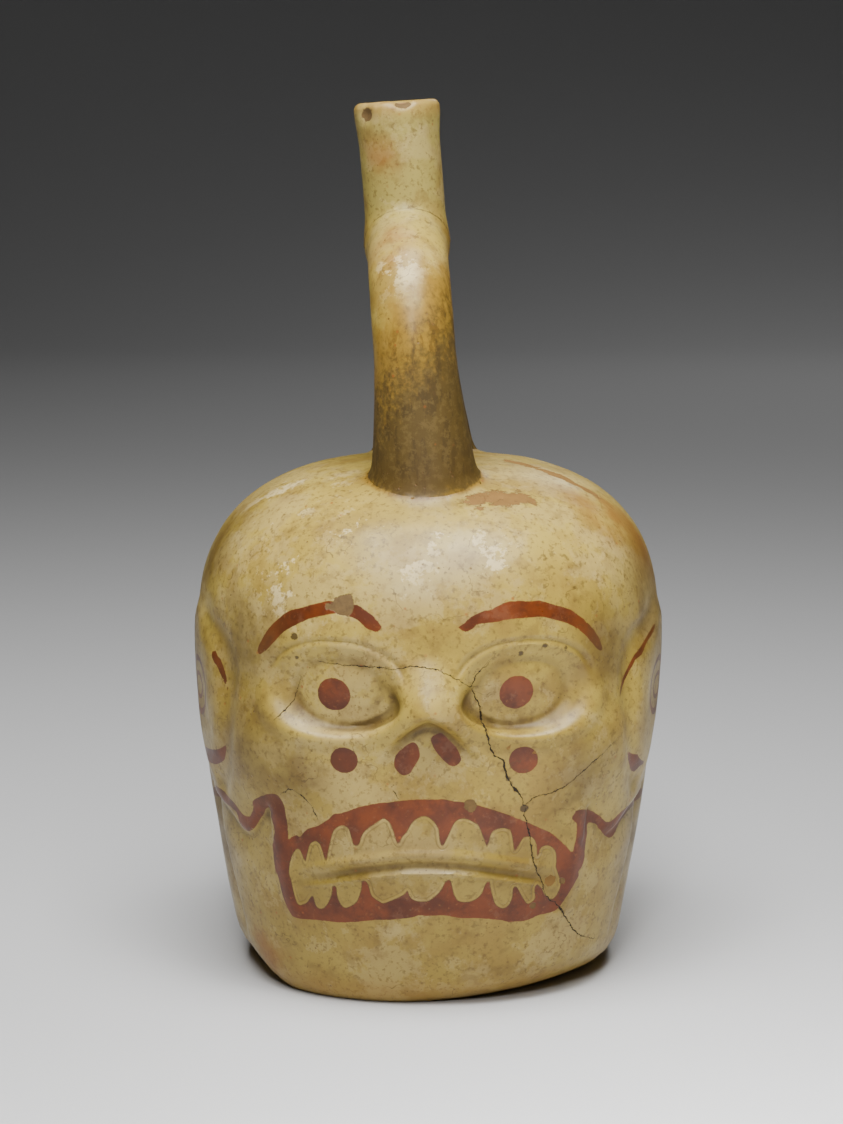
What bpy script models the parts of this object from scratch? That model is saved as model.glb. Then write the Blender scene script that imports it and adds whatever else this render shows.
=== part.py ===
"""A skull-shaped bottle of fired clay with a stirrup handle and a spout. It is one hollow piece.

The skull looks along -Y and stands on Z = 0. Everything is in metres.
"""

import math

import bmesh
import bpy
import numpy as np
from mathutils import Matrix, Vector

# Body
BODY_HEIGHT = 0.1665
BODY_WIDTH = 0.150
WIDEST_HEIGHT = 0.6486486 * BODY_HEIGHT
FACE_DEPTH = 0.0775
BACK_DEPTH = 0.082
BODY_WALL = 0.0048
FLOOR_THICKNESS = 0.0055
BASE_EDGE_IN = 0.0047
BASE_EDGE_UP = 0.0108
# Where the base's edge is rounded off more: degrees round from the front, half width, and how far in and up
WORN_EDGES = ((45.5, 59, 0.0151, 0.0044), (-69.3, 27, 0.0107, 0.0074))

# Shape exponents of the body: 2 is an ellipse, more is squarer
SECTION_SQUARENESS = 2.3
CROWN_SQUARENESS_LEFT = 2.68
CROWN_SQUARENESS_RIGHT = 2.855
CROWN_SQUARENESS_FRONT = 2.54
TAPER = 0.197
TAPER_CURVE = 1.6

# Stirrup handle: two hollow arms that meet under the spout
ARM_DIAMETER = 0.0255
ARM_BORE = 0.017
FOOT_DIAMETER = 0.0338
FOOT_FLARE_HEIGHT = 0.042
FOOT_SPACING = 0.062
ARCH_SPAN = 0.072
ARCH_RISE = 0.069
ARCH_CROWN_HEIGHT = 0.0365
FOOT_SINK = 0.0075
STIRRUP_SHIFT = -0.0015
STIRRUP_LEAN = math.radians(4.3)

# Spout
SPOUT_HEIGHT = 0.0455
SPOUT_DIAMETER = 0.026
SPOUT_BORE = 0.018
LIP_DIAMETER = 0.0276
LIP_HEIGHT = 0.007

# Mesh fineness. Columns are closest on the face: degrees round from its middle, and columns up to there
COLUMN_SPANS = ((0, 0), (40, 17), (62, 6), (100, 4), (180, 6))
# Rings are closest at the mouth and the eyes: percent of the body's height, and rings up to there
RING_SPANS = ((16.8, 3), (24, 4), (32.4, 7), (44.4, 6), (72, 16))
EDGE_RINGS = 5
CROWN_RINGS = 9
CAVITY_COLUMNS = 26
CAVITY_FACE_RINGS = 11
CAVITY_CROWN_RINGS = 5
ARM_SIDES = 16
ARCH_STATIONS = 19
LEG_STATIONS = 8
BORE_SIDES = 10
SPOUT_SIDES = 20
SMOOTH_ANGLE = math.radians(65)

CLAY_COLOUR = (0.62, 0.51, 0.31, 1.0)
CLAY_ROUGHNESS = 0.45

HALF_WIDTH = BODY_WIDTH / 2
CROWN_RISE = BODY_HEIGHT - WIDEST_HEIGHT


def spot(degrees, percent):
    """A place on the body: degrees round from the middle of the face, and percent of the body's height.

    It is given as a distance along the widest girth and a height.
    """
    return math.radians(degrees) * HALF_WIDTH, percent / 100 * BODY_HEIGHT


# Carving on the face. Places are spots, sizes and depths are metres.
EYES = (spot(-21.6, 61.4), spot(22.6, 61.6))
EYE_HALF_WIDTH = 0.0198
EYE_UPPER_HEIGHT = 0.0140
EYE_LOWER_HEIGHT = 0.0130
EYE_DEPTH = 0.0048
EYEBALL_RISE = 0.0018
CHEEK_RIM_RISE = 0.0009
NOSE_TOP = spot(0, 70)[1]
NOSE_TIP = spot(0, 56.8)[1]
NOSE_FOOT = spot(0, 43)[1]
NOSE_HEIGHT = 0.0088
NOSE_TOP_HALF_WIDTH = 0.0115
NOSE_TIP_HALF_WIDTH = 0.0190
NOSE_FOOT_HALF_WIDTH = 0.0240
NOSE_TOP_CREST = 0.40
NOSE_TIP_CREST = 0.14
OPENING_HALF_WIDTH = 0.0110
OPENING_DROP = 0.0083
OPENING_EDGE = 0.0070
MUZZLE = spot(0, 28)
MUZZLE_HALF_WIDTH = 0.068
MUZZLE_HALF_HEIGHT = 0.045
MUZZLE_RISE = 0.0046
CHEEK = spot(40, 49)
CHEEK_HALF_WIDTH = 0.036
CHEEK_HALF_HEIGHT = 0.026
CHEEK_RISE = 0.0042
TEMPLE = spot(52, 66)
TEMPLE_HALF_WIDTH = 0.016
TEMPLE_HALF_HEIGHT = 0.030
TEMPLE_DEPTH = 0.0012
JAW_STEP = 0.0016
JAW_STEP_WIDTH = 0.0030
JAW_STEP_FADE = 0.014
FINGER_RISE = 0.0008
FINGER_HALF_WIDTH = 0.0065
JAW_BACK_STEP = 0.0012
JAW_BACK_FADE = 0.012
EAR_RISE = 0.0012
EAR_EDGE = 0.008
EAR_CREASE_DEPTH = 0.0014
EAR_CREASE_HALF_WIDTH = 0.0080
EAR_HOLLOW = spot(70, 57)
EAR_HOLLOW_HALF_WIDTH = 0.011
EAR_HOLLOW_HALF_HEIGHT = 0.014
EAR_HOLLOW_DEPTH = 0.0010
BITE_DEPTH = 0.0014
BITE_HALF_WIDTH = 0.0032
BITE_ROLL_RISE = 0.0010
BITE_ROLL_OFFSET = 0.0038
BITE_FADE = 0.024

# Lines of the carving, on the side where degrees are positive; the other side mirrors them
JAW_NOTCH = ((69, 37), (59.5, 35.3), (51, 32.3), (45, 36.5), (40.5, 39), (37.5, 37.5))
FINGER = ((37.2, 36.5), (37.5, 30), (37.2, 24), (36, 18.5))
JAW_BACK = ((69, 35), (66, 28), (62, 15), (60, 6))
EAR_FRONT = ((66, 71), (56.5, 67), (53.5, 60), (53.5, 52), (56, 45), (61, 40.5))
EAR_BACK = ((61, 40.5), (70, 41), (80, 49), (88, 58), (86, 68), (76, 73), (66, 71))
# The bite crosses the whole mouth, from one side to the other
BITE = ((-37, 22.9), (-24.7, 25.3), (-15.9, 27), (-6.9, 28.2), (0.4, 28.5), (8.7, 28), (17.8, 26.6), (37, 23.1))


def smooth(x):
    """0 below 0, 1 above 1 and an S curve between."""
    x = np.clip(x, 0, 1)
    return x * x * (3 - 2 * x)


def swell(along, height, centre, half_width, half_height, power=2.0):
    """A dome that is 1 at its centre and 0 at its edge."""
    across = np.abs(along - centre[0]) / half_width
    up = np.abs(height - centre[1]) / half_height
    return smooth(1 - (across**power + up**power) ** (1 / power))


def line_of(pairs):
    """The smooth line through these places."""
    points = np.array([spot(*pair) for pair in pairs])
    ends = np.vstack([2 * points[0] - points[1], points, 2 * points[-1] - points[-2]])
    line = []
    for before, start, end, after in zip(ends, ends[1:], ends[2:], ends[3:]):
        for t in (0, 0.25, 0.5, 0.75):
            bend = 2 * before - 5 * start + 4 * end - after
            twist = 3 * start - before - 3 * end + after
            line.append(start + 0.5 * ((end - before) * t + bend * t**2 + twist * t**3))
    return np.array([*line, points[-1]])


def from_line(along, height, line):
    """Distance from each place to a line, less than 0 on its right, and how far along the line, 0 to 1."""
    nearest = np.full(along.shape, np.inf)
    share = np.zeros(along.shape)
    steps = len(line) - 1
    for i, (start, run) in enumerate(zip(line, np.diff(line, axis=0))):
        t = ((along - start[0]) * run[0] + (height - start[1]) * run[1]) / (run @ run)
        t = np.clip(t, 0, 1)
        away = along - start[0] - t * run[0]
        up = height - start[1] - t * run[1]
        distance = np.hypot(away, up) * np.where(run[0] * up - run[1] * away < 0, -1, 1)
        closer = np.abs(distance) < np.abs(nearest)
        nearest = np.where(closer, distance, nearest)
        share = np.where(closer, (i + t) / steps, share)
    return nearest, share


def eye_relief(along, height, centre):
    """A sunken socket with an eyeball on its floor, a brow over it and a cheek rim under it."""
    across = (along - centre[0]) / EYE_HALF_WIDTH
    up = height - centre[1]
    up = np.where(up > 0, up / EYE_UPPER_HEIGHT, up / EYE_LOWER_HEIGHT)
    out = (np.abs(across) ** 2.2 + np.abs(up) ** 2.2) ** (1 / 2.2)
    below = smooth(0.5 - up)
    outward = np.clip(across * np.sign(centre[0]), -1, 1)
    wall = 0.50 - 0.20 * below + 0.24 * below * outward
    depth = EYE_DEPTH * (0.72 + 0.28 * below)
    socket = -depth * smooth((1.1 - out) / wall)
    eyeball = EYEBALL_RISE * np.clip(1 - (out / 0.95) ** 2, 0, 1) ** 1.5
    rim = CHEEK_RIM_RISE * smooth(1 - np.abs(out - 1.16) / 0.3) * below
    return socket + eyeball + rim


def nose_relief(along, height):
    """A ridged nose that ends above a flat nasal opening under an inverted V."""
    off_axis = np.abs(along)
    above = np.clip((NOSE_TOP - height) / (NOSE_TOP - NOSE_TIP), 0, 1)
    below = np.clip((NOSE_TIP - height) / (NOSE_TIP - NOSE_FOOT), 0, 1)
    width = NOSE_TOP_HALF_WIDTH + (NOSE_TIP_HALF_WIDTH - NOSE_TOP_HALF_WIDTH) * above
    width = width + (NOSE_FOOT_HALF_WIDTH - NOSE_TIP_HALF_WIDTH) * below
    crest = NOSE_TOP_CREST + (NOSE_TIP_CREST - NOSE_TOP_CREST) * above
    tent = np.clip(1 - (np.hypot(off_axis / width, crest) - crest) * 1.25, 0, 1) ** 1.5
    nose = NOSE_HEIGHT * smooth(above) * (1 - below**1.5) * tent
    opening_top = NOSE_TIP - OPENING_DROP * (off_axis / OPENING_HALF_WIDTH) ** 2.2
    return nose * smooth(0.5 + (height - opening_top) / OPENING_EDGE)


def mouth_relief(along, height):
    """The line where the teeth meet: a groove between two rolls."""
    line = line_of(BITE)
    bite = np.interp(along, line[:, 0], line[:, 1])
    middle = smooth((line[-1, 0] - np.abs(along)) / BITE_FADE)
    off = np.abs(height - bite)
    groove = smooth(1 - off / BITE_HALF_WIDTH)
    rolls = smooth(1 - np.abs(off - BITE_ROLL_OFFSET) / BITE_HALF_WIDTH)
    return middle * (BITE_ROLL_RISE * rolls - BITE_DEPTH * groove)


def step_down(beyond, fade):
    """A step down beyond a line, which dies away further off."""
    return -smooth(beyond / JAW_STEP_WIDTH) * smooth(1 - np.abs(beyond) / fade)


def jaw_relief(along, height):
    """The cheekbone overhanging the jaw's notch, the jaw's finger beside the mouth and its back edge."""
    side = np.abs(along)
    notch, share = from_line(side, height, line_of(JAW_NOTCH))
    finger, _ = from_line(side, height, line_of(FINGER))
    back, back_share = from_line(side, height, line_of(JAW_BACK))
    relief = JAW_STEP * step_down(notch, JAW_STEP_FADE) * smooth(4 - 4 * share)
    relief += FINGER_RISE * smooth(1 - np.abs(finger) / FINGER_HALF_WIDTH)
    return relief + JAW_BACK_STEP * step_down(back, JAW_BACK_FADE) * smooth(2.4 - 2.4 * back_share)


def ear_relief(along, height):
    """A low, flat ear set off from the face by a crease along its front."""
    side = np.abs(along)
    crease, _ = from_line(side, height, line_of(EAR_FRONT))
    rear, _ = from_line(side, height, line_of(EAR_BACK))
    within = np.where(np.abs(crease) < np.abs(rear), crease, rear)
    plate = smooth(0.5 + within / EAR_EDGE)
    groove = smooth(1 - np.abs(crease) / EAR_CREASE_HALF_WIDTH)
    hollow = swell(side, height, EAR_HOLLOW, EAR_HOLLOW_HALF_WIDTH, EAR_HOLLOW_HALF_HEIGHT)
    return EAR_RISE * plate - EAR_CREASE_DEPTH * groove - EAR_HOLLOW_DEPTH * hollow


def broad_relief(along, height):
    """The skull's larger forms."""
    side = np.abs(along)
    relief = MUZZLE_RISE * swell(along, height, MUZZLE, MUZZLE_HALF_WIDTH, MUZZLE_HALF_HEIGHT)
    relief += CHEEK_RISE * swell(side, height, CHEEK, CHEEK_HALF_WIDTH, CHEEK_HALF_HEIGHT, 2.6)
    relief -= TEMPLE_DEPTH * swell(side, height, TEMPLE, TEMPLE_HALF_WIDTH, TEMPLE_HALF_HEIGHT)
    for centre in EYES:
        relief += eye_relief(along, height, centre)
    return relief


def carved_relief(along, height):
    """Everything that stands out of the plain body or is cut into it."""
    fine = nose_relief(along, height) + mouth_relief(along, height)
    sides = jaw_relief(along, height) + ear_relief(along, height)
    return broad_relief(along, height) + fine + sides


def inner_relief(along, height):
    """The carving as the inside of the wall follows it: the lowest within one wall of each place."""
    lowest = carved_relief(along, height)
    for turn in np.linspace(0, 2 * math.pi, 8, endpoint=False):
        near = carved_relief(along + BODY_WALL * math.cos(turn), height + BODY_WALL * math.sin(turn))
        lowest = np.minimum(lowest, near)
    return lowest


def plain_radius(angle, inset=0.0):
    """Distance from the body's axis to its widest outline, seen from above; angle 0 faces front."""
    across, ahead = np.abs(np.sin(angle)), np.cos(angle)
    depth = np.where(ahead > 0, FACE_DEPTH, BACK_DEPTH) - inset
    n = SECTION_SQUARENESS
    return ((across / (HALF_WIDTH - inset)) ** n + (np.abs(ahead) / depth) ** n) ** (-1 / n)


def crown_squareness(angle):
    """The crown is squarest on the right, and rounder at the front and back."""
    to_right = smooth(0.5 + np.sin(angle))
    side = CROWN_SQUARENESS_LEFT + (CROWN_SQUARENESS_RIGHT - CROWN_SQUARENESS_LEFT) * to_right
    return side + (CROWN_SQUARENESS_FRONT - side) * np.cos(angle) ** 2


def girth(angle, height, inset=0.0):
    """Distance from the body's axis to its plain surface, which tapers down and closes over the crown."""
    down = np.clip((WIDEST_HEIGHT - height) / WIDEST_HEIGHT, 0, 1)
    up = np.clip((height - WIDEST_HEIGHT) / (CROWN_RISE - inset), 0, 1)
    n = crown_squareness(angle)
    return plain_radius(angle, inset) * (1 - TAPER * down**TAPER_CURVE) * (1 - up**n) ** (1 / n)


def base_edge(angle):
    """How far in and how high the base's rounded edge reaches at these angles."""
    reach_in = np.full(angle.shape, BASE_EDGE_IN)
    reach_up = np.full(angle.shape, BASE_EDGE_UP)
    for degrees, half_width, more_in, more_up in WORN_EDGES:
        worn = smooth(1 - np.abs(np.degrees(angle) - degrees) / half_width)
        reach_in += more_in * worn
        reach_up += more_up * worn
    return reach_in, reach_up


def edge_drawn_in(angle, height):
    """How far the base's rounded edge draws the surface in at these heights."""
    reach_in, reach_up = base_edge(angle)
    below = np.clip(1 - height / reach_up, 0, 1)
    return reach_in * (1 - np.sqrt(1 - below**2))


def around(angle, radius, height):
    """Points at these angles, distances from the axis and heights."""
    height = np.broadcast_to(height, radius.shape)
    return np.stack([radius * np.sin(angle), -radius * np.cos(angle), height], axis=1)


def spaced(spans):
    """Evenly spaced values from one span's end to the next, from (end, steps) pairs."""
    values = [spans[0][0]]
    for (start, _), (end, steps) in zip(spans, spans[1:]):
        values += list(np.linspace(start, end, steps + 1)[1:])
    return np.array(values)


def column_angles():
    """Angles of the body's columns, from straight back round to straight back again."""
    half = np.radians(spaced(COLUMN_SPANS))
    return np.concatenate([-half[:0:-1], half[:-1]])


def crown_levels(start, rings, top):
    """Heights over the widest girth, as shares of the rise: closer together near the top."""
    first = math.asin(start ** (CROWN_SQUARENESS_LEFT / 2))
    turns = np.linspace(first, math.pi / 2, rings + 1)[1:]
    return np.minimum(np.sin(turns) ** (2 / CROWN_SQUARENESS_LEFT), top)


def body_rings():
    """The outside of the body, from the flat underside up to the crown."""
    angle = column_angles()
    along = angle * HALF_WIDTH
    rings = []
    _, edge_up = base_edge(angle)
    for turn in np.linspace(0, math.pi / 2, EDGE_RINGS + 1)[:-1]:
        height = edge_up * (1 - math.cos(turn))
        drawn_in = edge_drawn_in(angle, height)
        rings.append(around(angle, girth(angle, height) - drawn_in + carved_relief(along, height), height))
    levels = spaced(((0, 0), *RING_SPANS)) / 100 * BODY_HEIGHT
    first = levels[RING_SPANS[0][1]]
    for level in levels:
        height = level + edge_up * np.clip(1 - level / first, 0, 1)
        rings.append(around(angle, girth(angle, height) + carved_relief(along, height), height))
    start = (levels[-1] - WIDEST_HEIGHT) / CROWN_RISE
    for rise in crown_levels(start, CROWN_RINGS, 0.9995):
        height = np.full(angle.shape, WIDEST_HEIGHT + CROWN_RISE * rise)
        rings.append(around(angle, girth(angle, height) + carved_relief(along, height), height))
    return rings


def cavity_rings():
    """The inside of the body, one wall in from the outside."""
    angle = np.linspace(-math.pi, math.pi, CAVITY_COLUMNS, endpoint=False)
    along = angle * HALF_WIDTH
    straight = np.linspace(FLOOR_THICKNESS, WIDEST_HEIGHT, CAVITY_FACE_RINGS + 1)
    crown = WIDEST_HEIGHT + (CROWN_RISE - BODY_WALL) * crown_levels(0, CAVITY_CROWN_RINGS, 0.9985)
    rings = []
    for level in np.concatenate([straight, crown]):
        height = np.full(angle.shape, level)
        drawn_in = edge_drawn_in(angle, height - BODY_WALL / 2)
        relief = inner_relief(along, height)
        rings.append(around(angle, girth(angle, height, BODY_WALL) - drawn_in + relief, height))
    return rings


def stirrup_line():
    """The stirrup's centre line as (y, z) pairs, from the front foot over the arch to the back foot."""
    half_span = ARCH_SPAN / 2
    springing = BODY_HEIGHT + ARCH_RISE - ARCH_CROWN_HEIGHT
    foot = crown_height(FOOT_SPACING / 2) - FOOT_SINK
    leg = []
    for share in np.linspace(0, 1, LEG_STATIONS + 1)[:-1]:
        out = FOOT_SPACING / 2 + (half_span - FOOT_SPACING / 2) * math.sin(share * math.pi / 2)
        leg.append((-out, foot + (springing - foot) * share))
    arch = []
    for turn in np.linspace(0, math.pi, ARCH_STATIONS):
        arch.append((-half_span * math.cos(turn), springing + ARCH_CROWN_HEIGHT * math.sin(turn)))
    return leg + arch + [(-y, z) for y, z in reversed(leg)]


def crown_height(ahead):
    """Height of the crown's surface this far in front of the body's axis."""
    share = ahead / FACE_DEPTH
    n = CROWN_SQUARENESS_FRONT
    return WIDEST_HEIGHT + CROWN_RISE * (1 - share**n) ** (1 / n)


def leaning(points):
    """The points of the upright stirrup, leaning to one side as the real one does."""
    pivot = Vector((STIRRUP_SHIFT, 0, BODY_HEIGHT))
    turn = Matrix.Rotation(-STIRRUP_LEAN, 4, "Y")
    place = Matrix.Translation(pivot) @ turn @ Matrix.Translation((0, 0, -BODY_HEIGHT))
    return [place @ Vector(p) for p in points]


def tube_rings(line, radius_at, sides):
    """Rings of a tube along a line in the YZ plane."""
    line = [Vector((0, y, z)) for y, z in line]
    rings = []
    for i, centre in enumerate(line):
        before, after = line[max(i - 1, 0)], line[min(i + 1, len(line) - 1)]
        forward = (after - before).normalized()
        side = Vector((1, 0, 0))
        up = side.cross(forward)
        radius = radius_at(centre.z)
        ring = []
        for k in range(sides):
            turn = 2 * math.pi * (k + 0.5) / sides
            ring.append(centre + radius * (math.cos(turn) * side + math.sin(turn) * up))
        rings.append(leaning(ring))
    return rings


def arm_radius(height):
    """The arm's radius, which flares towards the crown."""
    flare_top = crown_height(FOOT_SPACING / 2) + FOOT_FLARE_HEIGHT
    flare = max(0.0, flare_top - height) / FOOT_FLARE_HEIGHT
    return (ARM_DIAMETER + (FOOT_DIAMETER - ARM_DIAMETER) * min(flare, 1.25) ** 1.6) / 2


def turned_rings(profile, sides):
    """Rings of a shape turned on the spout's axis, from (radius, height) pairs."""
    rings = []
    for radius, height in profile:
        turns = [2 * math.pi * (k + 0.5) / sides for k in range(sides)]
        rings.append(leaning([(radius * math.cos(t), radius * math.sin(t), height) for t in turns]))
    return rings


def arch_top():
    """Height of the stirrup's centre line under the spout."""
    return BODY_HEIGHT + ARCH_RISE


def spout_profile():
    """The outside of the spout, from inside the arch up to its rounded lip."""
    foot, rim = arch_top(), arch_top() + SPOUT_HEIGHT
    body, lip = SPOUT_DIAMETER / 2, LIP_DIAMETER / 2
    bore = SPOUT_BORE / 2
    wall = lip - bore
    profile = [(body * 0.9, foot - ARM_DIAMETER * 0.2), (body * 1.01, foot)]
    for share in np.linspace(0.15, 1, 5):
        profile.append((body, foot + (SPOUT_HEIGHT - LIP_HEIGHT * 2) * share))
    profile.append(((body + lip) / 2, rim - LIP_HEIGHT))
    for turn in np.linspace(0, math.pi / 2, 4):
        drop = wall / 2 * (1 - math.sin(turn))
        profile.append((lip - wall / 2 * (1 - math.cos(turn)), rim - drop))
    return profile


def bore_profile():
    """The hole down the spout, widening a little at the mouth."""
    rim = arch_top() + SPOUT_HEIGHT
    bore = SPOUT_BORE / 2
    wall = LIP_DIAMETER / 2 - bore
    return [
        (ARM_BORE / 2 * 0.8, arch_top() - ARM_BORE * 0.1),
        (bore, arch_top() + ARM_BORE * 0.3),
        (bore, rim - wall * 0.6),
        (bore + wall * 0.15, rim - wall * 0.2),
        (bore + wall * 0.5, rim + wall * 0.05),
        (bore + wall * 0.5, rim + wall),
    ]


def loft(name, rings):
    """A closed mesh object through rings of points, with a face across each end."""
    build = bmesh.new()
    loops = [[build.verts.new(p) for p in ring] for ring in rings]
    for lower, upper in zip(loops, loops[1:]):
        for k in range(len(lower)):
            after = (k + 1) % len(lower)
            build.faces.new((lower[k], lower[after], upper[after], upper[k]))
    build.faces.new(list(reversed(loops[0])))
    build.faces.new(loops[-1])
    bmesh.ops.recalc_face_normals(build, faces=build.faces)
    mesh = bpy.data.meshes.new(name)
    build.to_mesh(mesh)
    build.free()
    shape = bpy.data.objects.new(name, mesh)
    bpy.context.scene.collection.objects.link(shape)
    return shape


def helper(name, rings):
    """A shape that only joins or cuts the bottle."""
    shape = loft(name, rings)
    shape.hide_render = True
    shape.display_type = "WIRE"
    return shape


def combine(target, operand, operation):
    """Joins the operand to the target, or cuts it from the target."""
    modifier = target.modifiers.new(f"{operation.lower()}_{operand.name}", "BOOLEAN")
    modifier.operation = operation
    modifier.object = operand


def clay():
    """The cream slip over fired clay."""
    material = bpy.data.materials.new("cream_slip")
    material.use_nodes = True
    shader = material.node_tree.nodes["Principled BSDF"]
    shader.inputs["Base Color"].default_value = CLAY_COLOUR
    shader.inputs["Roughness"].default_value = CLAY_ROUGHNESS
    shader.inputs["Metallic"].default_value = 0.0
    return material


def centred(rings):
    """Half the sum of the body's furthest points front and back, which the origin moves to."""
    every = np.vstack(rings)
    return (every[:, 1].min() + every[:, 1].max()) / 2


def main():
    for leftover in list(bpy.data.objects):
        bpy.data.objects.remove(leftover)
    rings = body_rings()
    line = stirrup_line()
    bottle = loft("skull_bottle", rings)
    bottle.data.materials.append(clay())
    stirrup = helper("stirrup", tube_rings(line, arm_radius, ARM_SIDES))
    spout = helper("spout", turned_rings(spout_profile(), SPOUT_SIDES))
    cavity = helper("cavity", cavity_rings())
    below = BODY_WALL + 2 * FOOT_SINK
    ends = [(line[0][0], line[0][1] - below)], [(line[-1][0], line[-1][1] - below)]
    bore_line = ends[0] + line + ends[1]
    arm_bore = helper("arm_bore", tube_rings(bore_line, lambda _: ARM_BORE / 2, BORE_SIDES))
    spout_bore = helper("spout_bore", turned_rings(bore_profile(), SPOUT_SIDES))
    for part in (stirrup, spout):
        combine(bottle, part, "UNION")
    for hollow in (cavity, arm_bore, spout_bore):
        combine(bottle, hollow, "DIFFERENCE")
    shift = Matrix.Translation((0, -centred(rings), 0))
    for shape in (bottle, stirrup, spout, cavity, arm_bore, spout_bore):
        shape.data.transform(shift)
        shape.data.shade_smooth()
        shape.data.set_sharp_from_angle(angle=SMOOTH_ANGLE)


main()
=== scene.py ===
"""Looks of the skull-shaped stirrup bottle: carving, red slip, cracks, chips, patina and painted shade, in a
studio.

The skull looks along -Y and stands on Z = 0. Everything is in metres, except places in mm where it says so.
"""

import math

import bmesh
import bpy
import numpy as np
from mathutils import Matrix, Vector, noise


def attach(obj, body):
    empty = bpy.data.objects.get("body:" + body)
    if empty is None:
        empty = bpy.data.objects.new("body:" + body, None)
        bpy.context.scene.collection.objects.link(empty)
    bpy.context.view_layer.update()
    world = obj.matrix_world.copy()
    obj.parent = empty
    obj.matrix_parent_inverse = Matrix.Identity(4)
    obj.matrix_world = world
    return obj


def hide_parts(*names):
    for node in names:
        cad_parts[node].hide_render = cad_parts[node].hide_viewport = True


# The bottle's sizes, as in the solid
BODY_HEIGHT = 0.1665
BODY_WIDTH = 0.150
WIDEST_HEIGHT = 0.108
FACE_DEPTH = 0.0775
BACK_DEPTH = 0.082
BODY_WALL = 0.0048
FLOOR_THICKNESS = 0.0055
BASE_EDGE_IN = 0.0047
BASE_EDGE_UP = 0.0108
# Where the base's edge is worn more: degrees round from the front, half width, how far in and up
WORN_EDGES = ((45.5, 59, 0.0151, 0.0044), (-69.3, 27, 0.0107, 0.0074))
SECTION_SQUARENESS = 2.3
CROWN_SQUARENESS_LEFT = 2.68
CROWN_SQUARENESS_RIGHT = 2.855
CROWN_SQUARENESS_FRONT = 2.54
TAPER = 0.197
TAPER_CURVE = 1.6
ARM_DIAMETER = 0.0255
ARM_BORE = 0.017
FOOT_DIAMETER = 0.0338
FOOT_FLARE_HEIGHT = 0.042
FOOT_SPACING = 0.062
ARCH_SPAN = 0.072
ARCH_RISE = 0.069
ARCH_CROWN_HEIGHT = 0.0365
FOOT_SINK = 0.0075
STIRRUP_SHIFT = -0.0015
STIRRUP_LEAN = math.radians(4.3)
SPOUT_HEIGHT = 0.0455
SPOUT_DIAMETER = 0.026
SPOUT_BORE = 0.018
LIP_DIAMETER = 0.0276
HALF_WIDTH = BODY_WIDTH / 2
CROWN_RISE = BODY_HEIGHT - WIDEST_HEIGHT
# How far behind the origin the body's axis stands
AXIS_Y = 0.001495

# Fineness of the skin: degrees from the face's middle and columns to there, closest on the face
COLUMN_SPANS = ((0, 0), (52, 104), (104, 52), (180, 24))
# Percent of the body's height, and rings to there
RING_SPANS = ((16.8, 34), (72, 132))
EDGE_RINGS = 6
CROWN_RINGS = 34
# How near the top the last ring is, as a share of the rise, outside and in the cavity
CROWN_END = 0.99999
CAVITY_CROWN_END = 0.9985
CAVITY_COLUMNS = 40
CAVITY_FACE_RINGS = 14
CAVITY_CROWN_RINGS = 8
ARM_SIDES = 56
ARCH_STATIONS = 84
LEG_STATIONS = 34
BORE_SIDES = 24
SPOUT_SIDES = 72
SPOUT_STATIONS = 34
# Directions that are looked in round a place
DIRECTIONS = 8


def spot(degrees, percent):
    """A place on the body: degrees round from the middle of the face, and percent of the body's height.

    It is given as a distance along the widest girth and a height.
    """
    return math.radians(degrees) * HALF_WIDTH, percent / 100 * BODY_HEIGHT


# Carving on the face. Places are spots, sizes and depths are metres.
EYES = (spot(-21.6, 61.4), spot(22.6, 61.6))
EYE_HALF_WIDTH = 0.0198
EYE_UPPER_HEIGHT = 0.0140
EYE_LOWER_HEIGHT = 0.0130
EYE_DEPTH = 0.0048
EYEBALL_RISE = 0.0018
CHEEK_RIM_RISE = 0.0009
EYE_CREASE_DEPTH = 0.0008
EYE_LID_RISE = 0.0003
NOSE_TOP = spot(0, 70)[1]
NOSE_TIP = spot(0, 56.8)[1]
NOSE_FOOT = spot(0, 43)[1]
NOSE_HEIGHT = 0.0088
NOSE_TOP_HALF_WIDTH = 0.0115
NOSE_TIP_HALF_WIDTH = 0.0190
NOSE_FOOT_HALF_WIDTH = 0.0240
NOSE_TOP_CREST = 0.40
NOSE_TIP_CREST = 0.14
OPENING_HALF_WIDTH = 0.0110
OPENING_DROP = 0.0083
OPENING_EDGE = 0.0045
MUZZLE = spot(0, 28)
MUZZLE_HALF_WIDTH = 0.068
MUZZLE_HALF_HEIGHT = 0.045
MUZZLE_RISE = 0.0046
CHEEK = spot(40, 49)
CHEEK_HALF_WIDTH = 0.036
CHEEK_HALF_HEIGHT = 0.026
CHEEK_RISE = 0.0042
TEMPLE = spot(52, 66)
TEMPLE_HALF_WIDTH = 0.016
TEMPLE_HALF_HEIGHT = 0.030
TEMPLE_DEPTH = 0.0012
JAW_STEP = 0.0016
JAW_STEP_WIDTH = 0.0030
JAW_STEP_FADE = 0.014
FINGER_RISE = 0.0008
FINGER_HALF_WIDTH = 0.0065
JAW_BACK_STEP = 0.0012
JAW_BACK_FADE = 0.012
EAR_RISE = 0.0012
EAR_EDGE = 0.008
EAR_CREASE_DEPTH = 0.0014
EAR_CREASE_HALF_WIDTH = 0.0080
EAR_HOLLOW = spot(70, 57)
EAR_HOLLOW_HALF_WIDTH = 0.011
EAR_HOLLOW_HALF_HEIGHT = 0.014
EAR_HOLLOW_DEPTH = 0.0010
BITE_FADE = 0.024

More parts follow.
